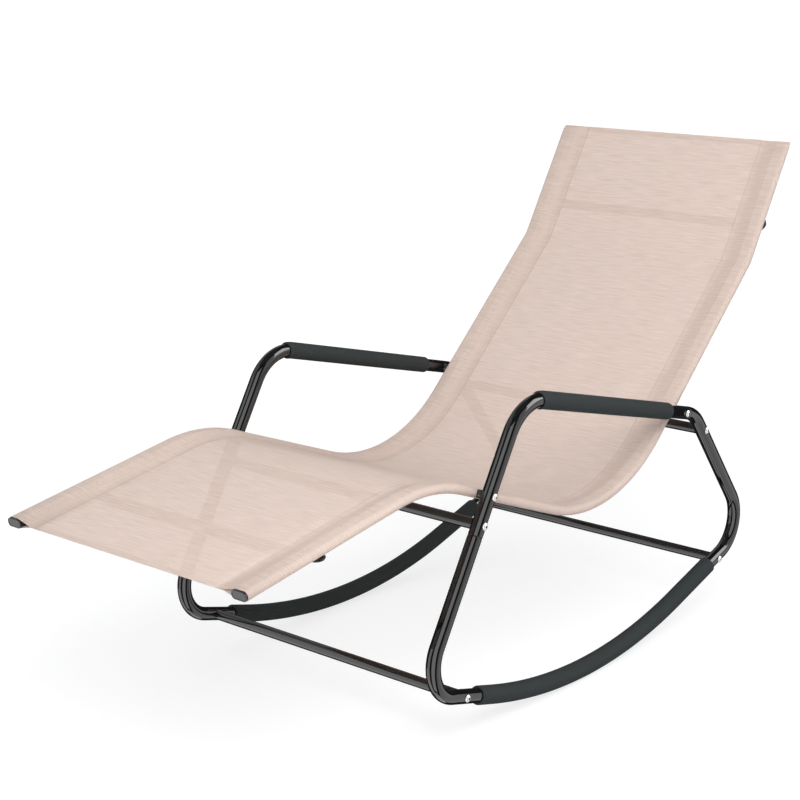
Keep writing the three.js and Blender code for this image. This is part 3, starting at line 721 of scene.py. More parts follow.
SHEET_CUTS = 10
FLAT_CUTS = 2
SLOPE_CUTS = 3
EDGE_CUTS = 18
FOLD_CUTS = 5
UNDER_SHARE = 1.05
FOLD_SHARE = 0.55
HEM_SEAM_SHARE = 0.85
SLEEVE_CLOSING_SHARES = ((0.25, 0.72), (0.5, 0.36), (0.75, 0.12), (1, 0.052))


def step_to(bm, vert, x, y, across):
    """Extrudes one vertex of a section to a new place and measures the cloth."""
    made = bmesh.ops.extrude_vert_indiv(bm, verts=[vert])["verts"][0]
    gap = Vector((x, y, 0)) - vert.co
    bmesh.ops.translate(bm, verts=[made], vec=gap)
    made[across] = vert[across] + gap.length
    return made


def line_to(bm, vert, x, y, cuts, across):
    start = vert.co.copy()
    for i in range(1, cuts + 1):
        place = start.lerp(Vector((x, y, 0)), i / cuts)
        vert = step_to(bm, vert, place.x, place.y, across)
    return vert


def arc_round(bm, vert, centre_x, angle, cuts, across):
    """Spins one vertex of a section round a rail's edge."""
    centre = Vector((centre_x, 0, 0))
    radius = (vert.co - centre).length
    for _ in range(cuts):
        before = vert[across]
        vert = sweep(bm, [vert], centre, UPRIGHT, angle / cuts)[0]
        vert[across] = before + radius * angle / cuts
    return vert


def sling_section(bm, sizes):
    """The sling cut across: the sheet, and a sleeve round each rail, sewn at its seam."""
    across = bm.verts.layers.float.new("across")
    bm.verts.layers.float.new("along")
    radius = sizes.rail_height / 2 + sizes.clearance + sizes.fabric / 2
    flat = (sizes.rail_width - sizes.rail_height) / 2
    inner = sizes.rail_spacing / 2 - flat
    outer = sizes.rail_spacing / 2 + flat
    lean = math.asin(radius / (inner - sizes.seam))
    under = sizes.fabric * UNDER_SHARE
    fold = sizes.seam - sizes.allowance
    vert = bm.verts.new((0, 0, 0))
    vert = line_to(bm, vert, fold - sizes.fabric, 0, SHEET_CUTS, across)
    vert = line_to(bm, vert, sizes.seam, 0, FLAT_CUTS, across)
    touch = (inner - radius * math.sin(lean), radius * math.cos(lean))
    vert = line_to(bm, vert, touch[0], -touch[1], SLOPE_CUTS, across)
    vert = arc_round(bm, vert, inner, lean, SLOPE_CUTS, across)
    vert = line_to(bm, vert, outer, -radius, FLAT_CUTS, across)
    vert = arc_round(bm, vert, outer, HALF_TURN, EDGE_CUTS, across)
    vert = line_to(bm, vert, inner, radius, FLAT_CUTS, across)
    vert = arc_round(bm, vert, inner, lean, SLOPE_CUTS, across)
    vert = line_to(bm, vert, sizes.seam, under, SLOPE_CUTS, across)
    vert = line_to(bm, vert, fold, under, 1, across)
    half_width = vert[across]
    bmesh.ops.mirror(
        bm, geom=[*bm.verts, *bm.edges], axis="X", merge_dist=JOIN,
        matrix=Matrix.Identity(4))
    for vert in bm.verts:
        if vert.co.x < 0:
            vert[across] = -vert[across]
    return half_width


def fold_hem(bm, edges, inward, fall, sizes, start, sense):
    """Turns an edge of the sheet under and lays it back along the sheet."""
    radius = sizes.fabric * FOLD_SHARE
    point = edges[0].verts[0].co.copy()
    point.x = 0
    edges = draw_bend(
        bm, edges, point + fall * radius, HALF_TURN * sense, FOLD_CUTS, start,
        -HALF_TURN * radius * sense)
    edge = edges[0].verts[0][bm.verts.layers.float["along"]]
    draw_run(bm, edges, inward * (sizes.hem - sizes.clearance), edge - sizes.hem * sense)


def one_thread(bm, point, toward, up, sizes):
    """One visible thread, half sunk in the cloth."""
    side = up.cross(toward)
    turn = Matrix((side, up, toward)).transposed().to_4x4()
    size = Matrix.Diagonal((THREAD_WIDTH / 2, THREAD_RISE, sizes.stitch / 2, 1))
    made = bmesh.ops.create_uvsphere(
        bm, u_segments=5, v_segments=4, radius=1,
        matrix=Matrix.Translation(point) @ turn @ size)
    return made["verts"]


def repeat_threads(bm, verts, count, move, centre=(0, 0, 0), turn=0):
    """Copies threads in even steps along a straight run or round a bend."""
    faces = {face for vert in verts for face in vert.link_faces}
    edges = {edge for vert in verts for edge in vert.link_edges}
    sweep(
        bm, [*verts, *edges, *faces], centre, LEVEL, turn, count, move, copy=True)


class LOUNGE_OT_sling(Operator):
    """Sew the mesh sling with its sleeves, hems and stitches"""

    bl_idname = "lounge.sling"
    bl_label = "Sling"

    def execute(self, context):
        sizes = context.scene.lounge_sizes
        p = side_view(sizes)
        head_up = heading(HEAD_SLOPE)
        route = rail_route(p, p["head_end"] + head_up * sizes.hem)
        rail = rail_route(p, p["head_end"])
        start = sizes.foot_margin
        pocket = rail.length + sizes.clearance + sizes.fabric
        bm = bmesh.new()
        half_width = sling_section(bm, sizes)
        point, toward = route.station(start)
        bmesh.ops.transform(bm, matrix=seat_of(point, toward), verts=bm.verts)
        measure_on(bm, bm.verts, start)
        first = list(bm.edges)
        last = draw_along(bm, first, route, start, pocket)
        last = self.flatten_sleeves(bm, last, route, pocket, sizes)
        fold_x = sizes.seam - sizes.allowance - sizes.fabric / 2
        across = bm.verts.layers.float["across"]
        hems = (
            (first, toward, toward, start, 1),
            (last, -head_up, head_up, route.length, -1))
        for edges, inward, along, place, sense in hems:
            sheet_edges = [
                e for e in edges
                if all(abs(v[across]) < fold_x + LOOSE_JOIN for v in e.verts)]
            fold_hem(bm, sheet_edges, inward, along.cross(LEVEL), sizes, place, sense)
        self.write_uv(bm)
        bmesh.ops.recalc_face_normals(bm, faces=bm.faces)
        sling = finish_piece(bm, "mesh_sling", "mesh_fabric", ["sling"], sharp=70)
        wall = sling.modifiers.new("cloth_thickness", "SOLIDIFY")
        wall.thickness = sizes.fabric
        wall.offset = 0
        stitches = self.stitches(route, pocket, sizes)
        return {"FINISHED"}

    def flatten_sleeves(self, bm, edges, route, pocket, sizes):
        """Closes the sleeves beyond the rails down to the hem's thickness."""
        room = route.length - pocket
        done = 1
        for share, height in SLEEVE_CLOSING_SHARES:
            place = pocket + room * share
            point, toward = route.station(place)
            edges = draw_run(
                bm, edges, toward * room / len(SLEEVE_CLOSING_SHARES), place)
            sleeve = [
                v for v in verts_of(edges) if abs(v.co.x) > sizes.seam + sizes.clearance]
            bmesh.ops.scale(
                bm, vec=(1, height / done, 1), verts=sleeve,
                space=seat_of(point, toward).inverted())
            done = height
        return edges

    def write_uv(self, bm):
        """Copies the measured cloth into the UV map, in metres."""
        across = bm.verts.layers.float["across"]
        along = bm.verts.layers.float["along"]
        uv = bm.loops.layers.uv.new("cloth")
        for face in bm.faces:
            for loop in face.loops:
                loop[uv].uv = (loop.vert[across], loop.vert[along])

    def stitches(self, route, pocket, sizes):
        """The visible thread along both seams and both hems."""
        bm = bmesh.new()
        lift = sizes.fabric / 2
        passed = 0
        for part in route.parts:
            low = max(sizes.foot_margin, passed)
            high = min(pocket, passed + part.length)
            passed += part.length
            count = math.floor((high - low) / sizes.stitch_pitch)
            step = (high - low) / count
            point, toward = route.station(low + step / 2)
            up = LEVEL.cross(toward)
            verts = []
            for sign in SIDES.values():
                for x in (sizes.seam, sizes.seam - sizes.allowance):
                    seam = point + up * lift + LEVEL * sign * (x - sizes.fabric)
                    verts += one_thread(bm, seam, toward, up, sizes)
            if part.centre is None:
                repeat_threads(bm, verts, count - 1, toward * step)
            else:
                turn = part.turn * step / part.length * (count - 1)
                repeat_threads(bm, verts, count - 1, (0, 0, 0), part.centre, turn)
        reach = sizes.seam - sizes.fabric * 3
        count = math.floor(2 * reach / sizes.stitch_pitch)
        step = 2 * reach / count
        inset = sizes.hem * HEM_SEAM_SHARE
        for distance in (sizes.foot_margin + inset, route.length - inset):
            point, toward = route.station(distance)
            up = LEVEL.cross(toward)
            spot = point + up * lift + LEVEL * (step / 2 - reach)
            verts = one_thread(bm, spot, LEVEL, up, sizes)
            repeat_threads(bm, verts, count - 1, LEVEL * step)
        return finish_piece(bm, "sling_stitches", "mesh_fabric", finish=sewing_thread)


# Braces under the sling

HEAD_CORNER = 3
BRACE_STEPS = 7
BRACE_END_SHARE = 0.42
BRACE_TIP_SHARE = 0.55
BRACE_END_TURN = QUARTER_TURN / 1.1


def brace_piece(point, toward, sizes):
    """A round bar whose ends are pressed flat against the rails."""
    fall = toward.cross(LEVEL)
    top = sizes.rail_height / 2 + 2 * sizes.clearance + sizes.fabric
    end_drop = top + sizes.brace_end_height / 2
    tip = (sizes.rail_spacing + sizes.rail_width) / 2 + sizes.brace_overhang
    flat_start = tip - BRACE_FLAT
    width, height = sizes.brace_end_width, sizes.brace_end_height
    middle = (0, sizes.brace_drop, sizes.bar, sizes.bar)
    rings = [(BRACE_BEND, *middle[1:])]
    for i in range(1, BRACE_STEPS + 1):
        share = i / BRACE_STEPS
        eased = share * share * (3 - 2 * share)
        rings.append((
            BRACE_BEND + (flat_start - BRACE_BEND) * share,
            sizes.brace_drop + (end_drop - sizes.brace_drop) * eased,
            sizes.bar + (width - sizes.bar) * eased,
            sizes.bar + (height - sizes.bar) * eased))
    round_end = width * BRACE_END_SHARE
    for i in range(BRACE_STEPS):
        turn = BRACE_END_TURN * i / (BRACE_STEPS - 1)
        rings.append((
            tip - round_end * (1 - math.sin(turn)), end_drop, width * math.cos(turn),
            height * max(BRACE_TIP_SHARE, math.sqrt(math.cos(turn)))))
    bm = bmesh.new()
    axes = Matrix((toward, fall, LEVEL)).transposed().to_4x4()
    seat = Matrix.Translation(point + fall * sizes.brace_drop) @ axes
    edges = round_section(bm, seat, sizes.bar, BRACE_SEGMENTS)
    for before, ring in zip([middle, *rings], rings):
        place, drop, wide, high = ring
        move = LEVEL * (place - before[0]) + fall * (drop - before[1])
        edges = draw_run(bm, edges, move)
        space = (Matrix.Translation(point + LEVEL * place + fall * drop) @ axes).inverted()
        bmesh.ops.scale(
            bm, vec=(wide / before[2], high / before[3], 1), verts=verts_of(edges),
            space=space)
    bmesh.ops.holes_fill(bm, edges=edges, sides=0)
    bmesh.ops.mirror(
        bm, geom=[*bm.verts, *bm.edges, *bm.faces], axis="X", merge_dist=LOOSE_JOIN,
        matrix=Matrix.Identity(4))
    tidy_shell(bm)
    return bm


class LOUNGE_OT_braces(Operator):
    """Set the two braces with pressed ends under the sling"""

    bl_idname = "lounge.braces"
    bl_label = "Braces"

    def execute(self, context):
        sizes = context.scene.lounge_sizes
        p = side_view(sizes)
        rail = rail_route(p, p["head_end"])
        places = {"foot": FOOT_BRACE, "head": rail.bend_middle(HEAD_CORNER) + HEAD_BRACE}
        for name, distance in places.items():
            point, toward = rail.station(distance)
            bm = brace_piece(point, toward, sizes)
            finish_piece(
                bm, f"{name}_cross_brace", "bar_steel", [f"{name}_brace"], sharp=50)
        return {"FINISHED"}


# Bolts and spacers

BOLT_RIM_SHARE = 0.17
BOLT_SOCKET_SHARE = 0.36
BOLT_MOUTH_SHARE = 1.2
BOLT_SHANK_SHARE = 0.46
BOLT_DEPTH_SHARE = 0.55
BOLT_DOME_STEPS = 6
BOLT_TURN = 0.4
BOLT_TURN_STEP = 1.3
SPACER_WALL_SHARE = 0.27


def domed_bolt(sizes, reach):
    """A button-head bolt standing on its head's underside, with a hex socket."""
    radius = sizes.bolt_head / 2
    rim = sizes.bolt_rise * BOLT_RIM_SHARE
    rise = sizes.bolt_rise - rim
    ball = (radius * radius + rise * rise) / (2 * rise)
    centre = rim + rise - ball
    socket = radius * BOLT_SOCKET_SHARE
    mouth = socket * BOLT_MOUTH_SHARE
    shank = radius * BOLT_SHANK_SHARE
    lean = math.asin(mouth / ball)
    top = centre + ball * math.cos(lean)
    bm = bmesh.new()
    vert = bm.verts.new((mouth, 0, top))
    dome = math.asin(radius / ball) - lean
    vert = sweep(bm, [vert], (0, 0, centre), (0, 1, 0), dome, BOLT_DOME_STEPS)[0]
    for move in ((0, 0, -rim), (shank - radius, 0, 0), (0, 0, -reach)):
        vert = bmesh.ops.extrude_vert_indiv(bm, verts=[vert])["verts"][0]
        bmesh.ops.translate(bm, verts=[vert], vec=move)
    sweep(
        bm, [*bm.verts, *bm.edges], (0, 0, 0), UPRIGHT, FULL_TURN, BOLT_SEGMENTS,
        merge=True)
    bmesh.ops.remove_doubles(bm, verts=bm.verts, dist=JOIN)
    loop = [
        e for e in bm.edges
        if e.is_boundary and all(abs(v.co.z - top) < LOOSE_JOIN for v in e.verts)]
    hexagon = round_section(bm, Matrix.Translation((0, 0, top)), 2 * socket, 6)
    bmesh.ops.bridge_loops(bm, edges=[*loop, *hexagon])
    draw_run(bm, hexagon, UPRIGHT * -sizes.bolt_rise * BOLT_DEPTH_SHARE)
    close_ends(bm)
    bmesh.ops.recalc_face_normals(bm, faces=bm.faces)
    return bm


class LOUNGE_OT_fasteners(Operator):
    """Fit the domed bolts and the spacers between rails and frames"""

    bl_idname = "lounge.fasteners"
    bl_label = "Bolts And Spacers"

    def execute(self, context):
        sizes = context.scene.lounge_sizes
        p = side_view(sizes)
        places = {
            "seat_rail": "seat_bolt", "back_rail": "back_bolt",
            "mid_bar": "mid_bolt", "front_lower_bar": "front_bolt",
            "rear_lower_bar": "rear_bolt", "rear_upper_bar": "upper_bolt"}
        for side, sign in SIDES.items():
            for name, corner in places.items():
                low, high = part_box(f"{name}_bolt_{side}")
                inner, outer = sorted((abs(low.x), abs(high.x)))
                bm = domed_bolt(sizes, outer - sizes.bolt_rise - inner)
                twist = BOLT_TURN + BOLT_TURN_STEP * len(name) * sign
                spot = p[corner] + LEVEL * sign * (outer - sizes.bolt_rise)
                bmesh.ops.transform(
                    bm, verts=bm.verts,
                    matrix=across_seat(spot, sign) @ Matrix.Rotation(twist, 4, "Z"))
                finish_piece(
                    bm, f"{side}_{name}_bolt", "hardware", [f"{name}_bolt_{side}"],
                    sharp=35)
            for name, tube_slope, rail_slope in (
                    ("seat", LEG_SLOPE, -SEAT_SLOPE), ("back", -ARM_SLOPE, BACK_SLOPE)):
                bm = self.spacer(
                    sizes, p[f"{name}_bolt"], sign, heading(tube_slope),
                    heading(rail_slope))
                finish_piece(
                    bm, f"{side}_{name}_rail_spacer", "plastic",
                    [f"{name}_rail_spacer_{side}"])
        return {"FINISHED"}

    def spacer(self, sizes, point, sign, tube_way, rail_way):
        """A short plastic tube, hollowed at both ends to fit what it touches."""
        flat = (sizes.rail_width - sizes.rail_height) / 2
        rail_x = sizes.rail_spacing / 2 + flat
        rail_r = sizes.rail_height / 2 + 2 * sizes.clearance + sizes.fabric
        tube_x = sizes.frame_spacing / 2
        tube_r = sizes.tube / 2 + sizes.clearance
        bm = bmesh.new()
        seat = across_seat(point + LEVEL * sign * rail_x, sign)
        near = round_section(bm, seat, sizes.spacer, TUBE_SEGMENTS)
        far = draw_run(bm, near, LEVEL * sign * (tube_x - rail_x))
        cope(verts_of(near), sign, point, rail_way, rail_x, rail_r, 1)
        cope(verts_of(far), sign, point, tube_way, tube_x, tube_r, -1)
        give_wall(bm, sizes.spacer * SPACER_WALL_SHARE)
        soften(bm, sharp_rims(bm, SPACER_RIM_ANGLE), sizes.clearance)
        return bm


# Material building

def feed(node, inputs):
    """Sets inputs to plain values, or links them to other nodes' sockets."""
    for name, value in inputs.items():
        if isinstance(value, bpy.types.NodeSocket):
            node.id_data.links.new(value, node.inputs[name])
        else:
            node.inputs[name].default_value = value


def add_node(tree, kind, inputs=None, **settings):
    """A node with its plain settings given by name, and its inputs fed."""
    node = tree.nodes.new(kind)
    for name, value in settings.items():
        setattr(node, name, value)
    feed(node, inputs or {})
    return node


def add_math(tree, operation, *values):
    """The result of a Math node whose inputs are sockets or plain numbers."""
    inputs = dict(enumerate(values))
    return add_node(tree, "ShaderNodeMath", inputs, operation=operation).outputs["Value"]


def add_mix(tree, kind, factor, first, second):
    """The result of a Mix node."""
    inputs = {"Factor": factor, "A": first, "B": second}
    return add_node(tree, "ShaderNodeMix", inputs, data_type=kind).outputs["Result"]


def add_bump(tree, height, depth):
    inputs = {"Height": height, "Strength": 1, "Distance": depth}
    return add_node(tree, "ShaderNodeBump", inputs).outputs["Normal"]


def new_material(name, kind="ShaderNodeBsdfPrincipled", inputs=None):
    """A node material that shows one shader."""
    material = bpy.data.materials.new(name)
    material.use_nodes = True
    tree = material.node_tree
    tree.nodes.clear()
    shader = add_node(tree, kind, inputs)
    add_node(tree, "ShaderNodeOutputMaterial", {"Surface": shader.outputs[0]})
    return material, tree, shader


def new_group(name, inputs, outputs):
    """An empty node group, and the sockets that bring its inputs."""
    group = bpy.data.node_groups.new(name, "ShaderNodeTree")
    for way, names in (("INPUT", inputs), ("OUTPUT", outputs)):
        for socket in names:
            group.interface.new_socket(
                socket, in_out=way, socket_type="NodeSocketFloat")
    return group, add_node(group, "NodeGroupInput").outputs


def use_group(tree, name, build, inputs):
    """The outputs of a shared node group, which is built when it is first used."""
    group = bpy.data.node_groups.get(name) or build()
    return add_node(tree, "ShaderNodeGroup", inputs, node_tree=group).outputs


# Finishes with the shared grain

GRAIN_DRIFT = 9


def grain_group():
    """Fine height and tone of a sprayed, moulded or foamed surface."""
    group, given = new_group("surface_grain", ("Scale", "Cells"), ("Height", "Tone"))
    place = add_node(group, "ShaderNodeTexCoord").outputs["Object"]
    noise = add_node(group, "ShaderNodeTexNoise", {
        "Vector": place, "Scale": given["Scale"], "Detail": 3})
    cells = add_node(group, "ShaderNodeTexVoronoi", {
        "Vector": place, "Scale": given["Scale"]})
    drift = add_node(group, "ShaderNodeTexNoise", {
        "Vector": place, "Scale": GRAIN_DRIFT})
    height = add_mix(
        group, "FLOAT", given["Cells"], noise.outputs["Fac"], cells.outputs["Distance"])
    add_node(group, "NodeGroupOutput", {"Height": height, "Tone": drift.outputs["Fac"]})
    return group


def finish_material(
        name, colour, scale, cells, depth, rough, metallic=0, ior=1.5, shine=0.5):
    """A plain-coloured finish with the shared grain on it."""
    known = bpy.data.materials.get(name)
    if known:
        return known
    colour = getattr(bpy.context.scene.lounge_finishes, colour)
    material, tree, shader = new_material(name, inputs={
        "Base Color": (*colour, 1), "Metallic": metallic, "IOR": ior,
        "Specular IOR Level": shine})
    grain = use_group(
        tree, "surface_grain", grain_group, {"Scale": scale, "Cells": cells})
    spread = add_node(tree, "ShaderNodeMapRange", {
        "Value": grain["Tone"], "To Min": rough[0], "To Max": rough[1]})
    feed(shader, {
        "Normal": add_bump(tree, grain["Height"], depth),
        "Roughness": spread.outputs["Result"]})
    return material


def powder_coat():
    return finish_material(
        "black_powder_coat", "paint", scale=900, cells=0, depth=0.000006,
        rough=(0.03, 0.06), ior=1.6)


def charcoal_foam():
    return finish_material(
        "charcoal_foam", "foam", scale=1400, cells=1, depth=0.0003, rough=(0.75, 0.9),
        shine=0.15)


def moulded_plastic():
    return finish_material(
        "black_moulding", "moulding", scale=2500, cells=0.3, depth=0.00002,
        rough=(0.25, 0.35), ior=1.65)


def zinc_plate():
    return finish_material(
        "zinc_plate", "zinc", scale=3000, cells=0, depth=0.00002, rough=(0.4, 0.5),
        metallic=1)


def sewing_thread():
    return finish_material(
        "sewing_thread", "thread", scale=3000, cells=0, depth=0.00005,
        rough=(0.6, 0.75))


# Woven sling

YARN_PITCH = 0.0016
YARN_OPENING = 0.38
YARN_DEPTH = 0.00012
SEWN_WIDTH = 0.0016
# Peak of the sewn-line mask: sets the groove and the colour's share of thread, which is
# partly painted shade of the seam's step
SEWN = 0.8
SEWN_DEPTH = 1.5
RIB_CELLS = (22, 340, 1)
CLOUD_SCALE = 14
CLOUD_TONE = 0.1
PLAIN_TONE = 0.45


def yarn_profile(calc, place):
    """A rounded ridge across each step of a row of yarns."""
    centred = calc("MULTIPLY_ADD", calc("FRACT", place), 2, -1)
    return calc("SUBTRACT", 1, calc("MULTIPLY", centred, centred))


def woven_mesh_group():
    """Plain weave of coated yarns with small openings, laid out in metres of cloth."""
    group, given = new_group(
        "woven_mesh", ("Pitch", "Opening", "First Seam", "Second Seam", "Seam Width"),
        ("Height", "Cover", "Tone", "Seam Thread And Shade"))
    calc = partial(add_math, group)
    cloth = add_node(group, "ShaderNodeUVMap", uv_map="cloth").outputs["UV"]
    axes = add_node(group, "ShaderNodeSeparateXYZ", {"Vector": cloth}).outputs
    warp_place = calc("DIVIDE", axes["X"], given["Pitch"])
    weft_place = calc("DIVIDE", axes["Y"], given["Pitch"])
    warp = yarn_profile(calc, warp_place)
    weft = yarn_profile(calc, weft_place)
    # Which yarn lies on top changes from crossing to crossing
    crossings = calc("ADD", calc("FLOOR", warp_place), calc("FLOOR", weft_place))
    weft_over = calc("MULTIPLY", calc("FRACT", calc("MULTIPLY", crossings, 0.5)), 2)
    height = add_mix(
        group, "FLOAT", weft_over,
        calc("MULTIPLY", warp, calc("MULTIPLY_ADD", weft, 0.5, 0.5)),
        calc("MULTIPLY", weft, calc("MULTIPLY_ADD", warp, 0.5, 0.5)))
    thickest = calc("MAXIMUM", warp, weft)
    # The cloth is drawn in along each sewn line; the same mask later tints the colour
    # towards the thread there, the thread's own colour plus painted shade of the seam's
    # step
    beside = calc("ABSOLUTE", axes["X"])
    lines = []
    for name in ("First Seam", "Second Seam"):
        gap = calc("ABSOLUTE", calc("SUBTRACT", beside, given[name]))
        share = calc("DIVIDE", gap, given["Seam Width"])
        lines.append(calc("MAXIMUM", calc("MULTIPLY_ADD", share, -SEWN, SEWN), 0))
    sewn = calc("MAXIMUM", *lines)
    # Long weft ribs and a faint cloud vary the tone
    stretch = add_node(group, "ShaderNodeMapping", {"Vector": cloth, "Scale": RIB_CELLS})
    ribs = add_node(group, "ShaderNodeTexNoise", {
        "Vector": stretch.outputs["Vector"], "Scale": 1, "Detail": 2}).outputs["Fac"]
    cloud = add_node(group, "ShaderNodeTexNoise", {
        "Vector": cloth, "Scale": CLOUD_SCALE}).outputs["Fac"]
    uneven = calc("MULTIPLY_ADD", cloud, CLOUD_TONE, PLAIN_TONE)
    add_node(group, "NodeGroupOutput", {
        "Height": calc("MULTIPLY_ADD", sewn, -SEWN_DEPTH, height),
        "Cover": calc("GREATER_THAN", thickest, given["Opening"]),
        "Tone": calc("ADD", calc("MULTIPLY_ADD", ribs, 2, -1), uneven),
        "Seam Thread And Shade": sewn})
    return group


def seam_places(sizes):
    """How far along the cloth its two sewn lines lie from its middle."""
    bm = bmesh.new()
    half_width = sling_section(bm, sizes)
    bm.free()
    return (
        sizes.seam - sizes.allowance - sizes.fabric,
        half_width - sizes.allowance + sizes.fabric)


def sling_fabric():
    """Coated mesh cloth that lets a little of what is behind it show."""
    known = bpy.data.materials.get("woven_sling")
    if known:
        return known
    finishes = bpy.context.scene.lounge_finishes
    material, tree, shader = new_material("woven_sling", inputs={
        "Roughness": 0.6, "Specular IOR Level": 0.3})
    first, second = seam_places(bpy.context.scene.lounge_sizes)
    weave = use_group(tree, "woven_mesh", woven_mesh_group, {
        "Pitch": YARN_PITCH, "Opening": YARN_OPENING, "First Seam": first,
        "Second Seam": second, "Seam Width": SEWN_WIDTH})
    cloth = add_mix(
        tree, "RGBA", weave["Tone"], (*finishes.fabric_dark, 1), (*finishes.fabric, 1))
    # The cloth's own far side is skipped, so one layer counts once
    far_side = add_node(tree, "ShaderNodeNewGeometry").outputs["Backfacing"]
    cover = add_math(tree, "SUBTRACT", weave["Cover"], far_side)
    feed(shader, {
        # Along the sewn lines the colour turns towards the thread: the thread's own colour
        # and painted shade of the seam's step
        "Base Color": add_mix(
            tree, "RGBA", weave["Seam Thread And Shade"], cloth, (*finishes.thread, 1)),
        "Normal": add_bump(tree, weave["Height"], YARN_DEPTH),
        "Alpha": add_math(tree, "MAXIMUM", cover, 0)})
    return material


# Pieces carried over from the frame

FINISH_OF_SLOT = {
    "frame_steel": powder_coat,
    "bar_steel": powder_coat,
    "rail_steel": powder_coat,
    "foam": charcoal_foam,
    "mesh_fabric": sling_fabric,
    "plastic": moulded_plastic,
    "hardware": zinc_plate,
}


class LOUNGE_OT_carried_nodes(Operator):
    """Give every node of the frame its finish"""

    bl_idname = "lounge.carried_nodes"
    bl_label = "Frame Nodes"

    def execute(self, context):
        for part in frame["record"]["subparts"]:
            node = frame["nodes"][part["node"]]
            node.data.materials.clear()
            node.data.materials.append(FINISH_OF_SLOT[part["material_slot"]]())
        return {"FINISHED"}


# Studio

FLOOR_REACH = 60
FLOOR_GLOW = {"From Min": 0.5, "From Max": 3, "To Min": 1.35, "To Max": 1.57}
FLOOR_GLOW_COLOUR = (0.986, 0.993, 1, 1)
FLOOR_GLOW_SHARE = 0.55
WORLD_LEVEL = 0.6
SENSOR_WIDTH = 36
LAMP_SIZE = 2.2
LAMP_PLACE = Vector((1.9, -1.5, 2.5))
LAMP_TARGET = Vector((0, 0, 0.4))
CARD_ROWS = 24
CARD_COLUMNS = 48
CARD_JOIN = 1e-4
LOOSE_TURN = 0.01

# Each card's turn from the camera and height, in degrees, its level and its distance
CARDS = {
    "dark_surround": ((0, 360), (-89.9, 89.9), 0.04, 14),
    "card_overhead": ((0, 360), (66, 89.9), 0.15, 13.5),
    "card_below": ((0, 360), (-89.9, -72), 1.8, 13.5),
    "card_back_left": ((-180, -128), (18, 50), 0.6, 13.2),
    "card_left": ((-125, -58), (20, 60), 0.7, 13.2),
    "softbox_left": ((-94, -56), (-20, 36), 1.75, 13),
    "softbox_low_left": ((-108, -56), (-72, -20), 1.9, 13),
    "softbox_front": ((-28, 21), (-66, 51), 2.2, 13),
    "softbox_right": ((48, 116), (-70, 48), 1.2, 13),
    "softbox_key": ((76, 110), (18, 51), 5.6, 12.5),
}


def background_rays(tree):
    """1 for what the camera sees, straight, mirrored or through glass, and else 0."""
    rays = add_node(tree, "ShaderNodeLightPath").outputs
    seen = add_math(tree, "MAXIMUM", rays["Is Camera Ray"], rays["Is Glossy Ray"])
    return add_math(tree, "MAXIMUM", seen, rays["Is Transmission Ray"])


def floor_material(name, colour):
    """A pale floor that shows white to the camera and keeps a soft shadow."""
    material, tree, shader = new_material(name, inputs={
        "Base Color": (*colour, 1), "Roughness": 1, "Specular IOR Level": 0})
    place = add_node(tree, "ShaderNodeTexCoord").outputs["Object"]
    reach = add_node(tree, "ShaderNodeVectorMath", {0: place}, operation="LENGTH")
    # The lamp's light falls off from the lounge, and the glow makes up for it
    rise = add_node(tree, "ShaderNodeMapRange", {
        "Value": reach.outputs["Value"], **FLOOR_GLOW})
    glow = add_node(tree, "ShaderNodeEmission", {
        "Color": FLOOR_GLOW_COLOUR, "Strength": rise.outputs["Result"]})
    share = add_math(tree, "MULTIPLY", background_rays(tree), FLOOR_GLOW_SHARE)
    mix = add_node(tree, "ShaderNodeMixShader", {
        0: share, 1: shader.outputs["BSDF"], 2: glow.outputs["Emission"]})
    output = next(n for n in tree.nodes if n.type == "OUTPUT_MATERIAL")
    feed(output, {"Surface": mix.outputs["Shader"]})
    return material


def white_world(level):
    """White behind the lounge, and an even soft light on it."""
    world = bpy.data.worlds.new("studio_world")
    world.use_nodes = True
    tree = world.node_tree
    tree.nodes.clear()
    strength = add_node(tree, "ShaderNodeMapRange", {
        "Value": background_rays(tree), "To Min": level, "To Max": 1})
    back = add_node(tree, "ShaderNodeBackground", {
        "Color": (1, 1, 1, 1), "Strength": strength.outputs["Result"]})
    add_node(tree, "ShaderNodeOutputWorld", {"Surface": back.outputs["Background"]})
    return world


def look_at(obj, target):
    obj.rotation_euler = (target - obj.location).to_track_quat("-Z", "Y").to_euler()


def reflected_card(name, turns, heights, level, radius, centre):
    """A curved card round the lounge that shows only in glossy surfaces."""
    bm = bmesh.new()
    low, high = (math.radians(angle) for angle in heights)
    start, end = (math.radians(angle) for angle in turns)
    vert = bm.verts.new((0, -radius * math.cos(low), radius * math.sin(low)))
    sweep(bm, [vert], (0, 0, 0), LEVEL, low - high, CARD_ROWS)
    bmesh.ops.rotate(
        bm, verts=bm.verts, cent=(0, 0, 0), matrix=Matrix.Rotation(start, 3, "Z"))
    full = end - start > FULL_TURN - LOOSE_TURN
    sweep(
        bm, [*bm.verts, *bm.edges], (0, 0, 0), UPRIGHT, end - start, CARD_COLUMNS,
        merge=full)
    bmesh.ops.remove_doubles(bm, verts=bm.verts, dist=CARD_JOIN)
    bmesh.ops.translate(bm, verts=bm.verts, vec=centre)
    glow = new_material(name, "ShaderNodeEmission", {"Strength": level})[0]
    card = add_object(name, make_mesh(bm, name, glow))
    card.visible_camera = False
    card.visible_diffuse = False
    card.visible_transmission = False
    card.visible_shadow = False


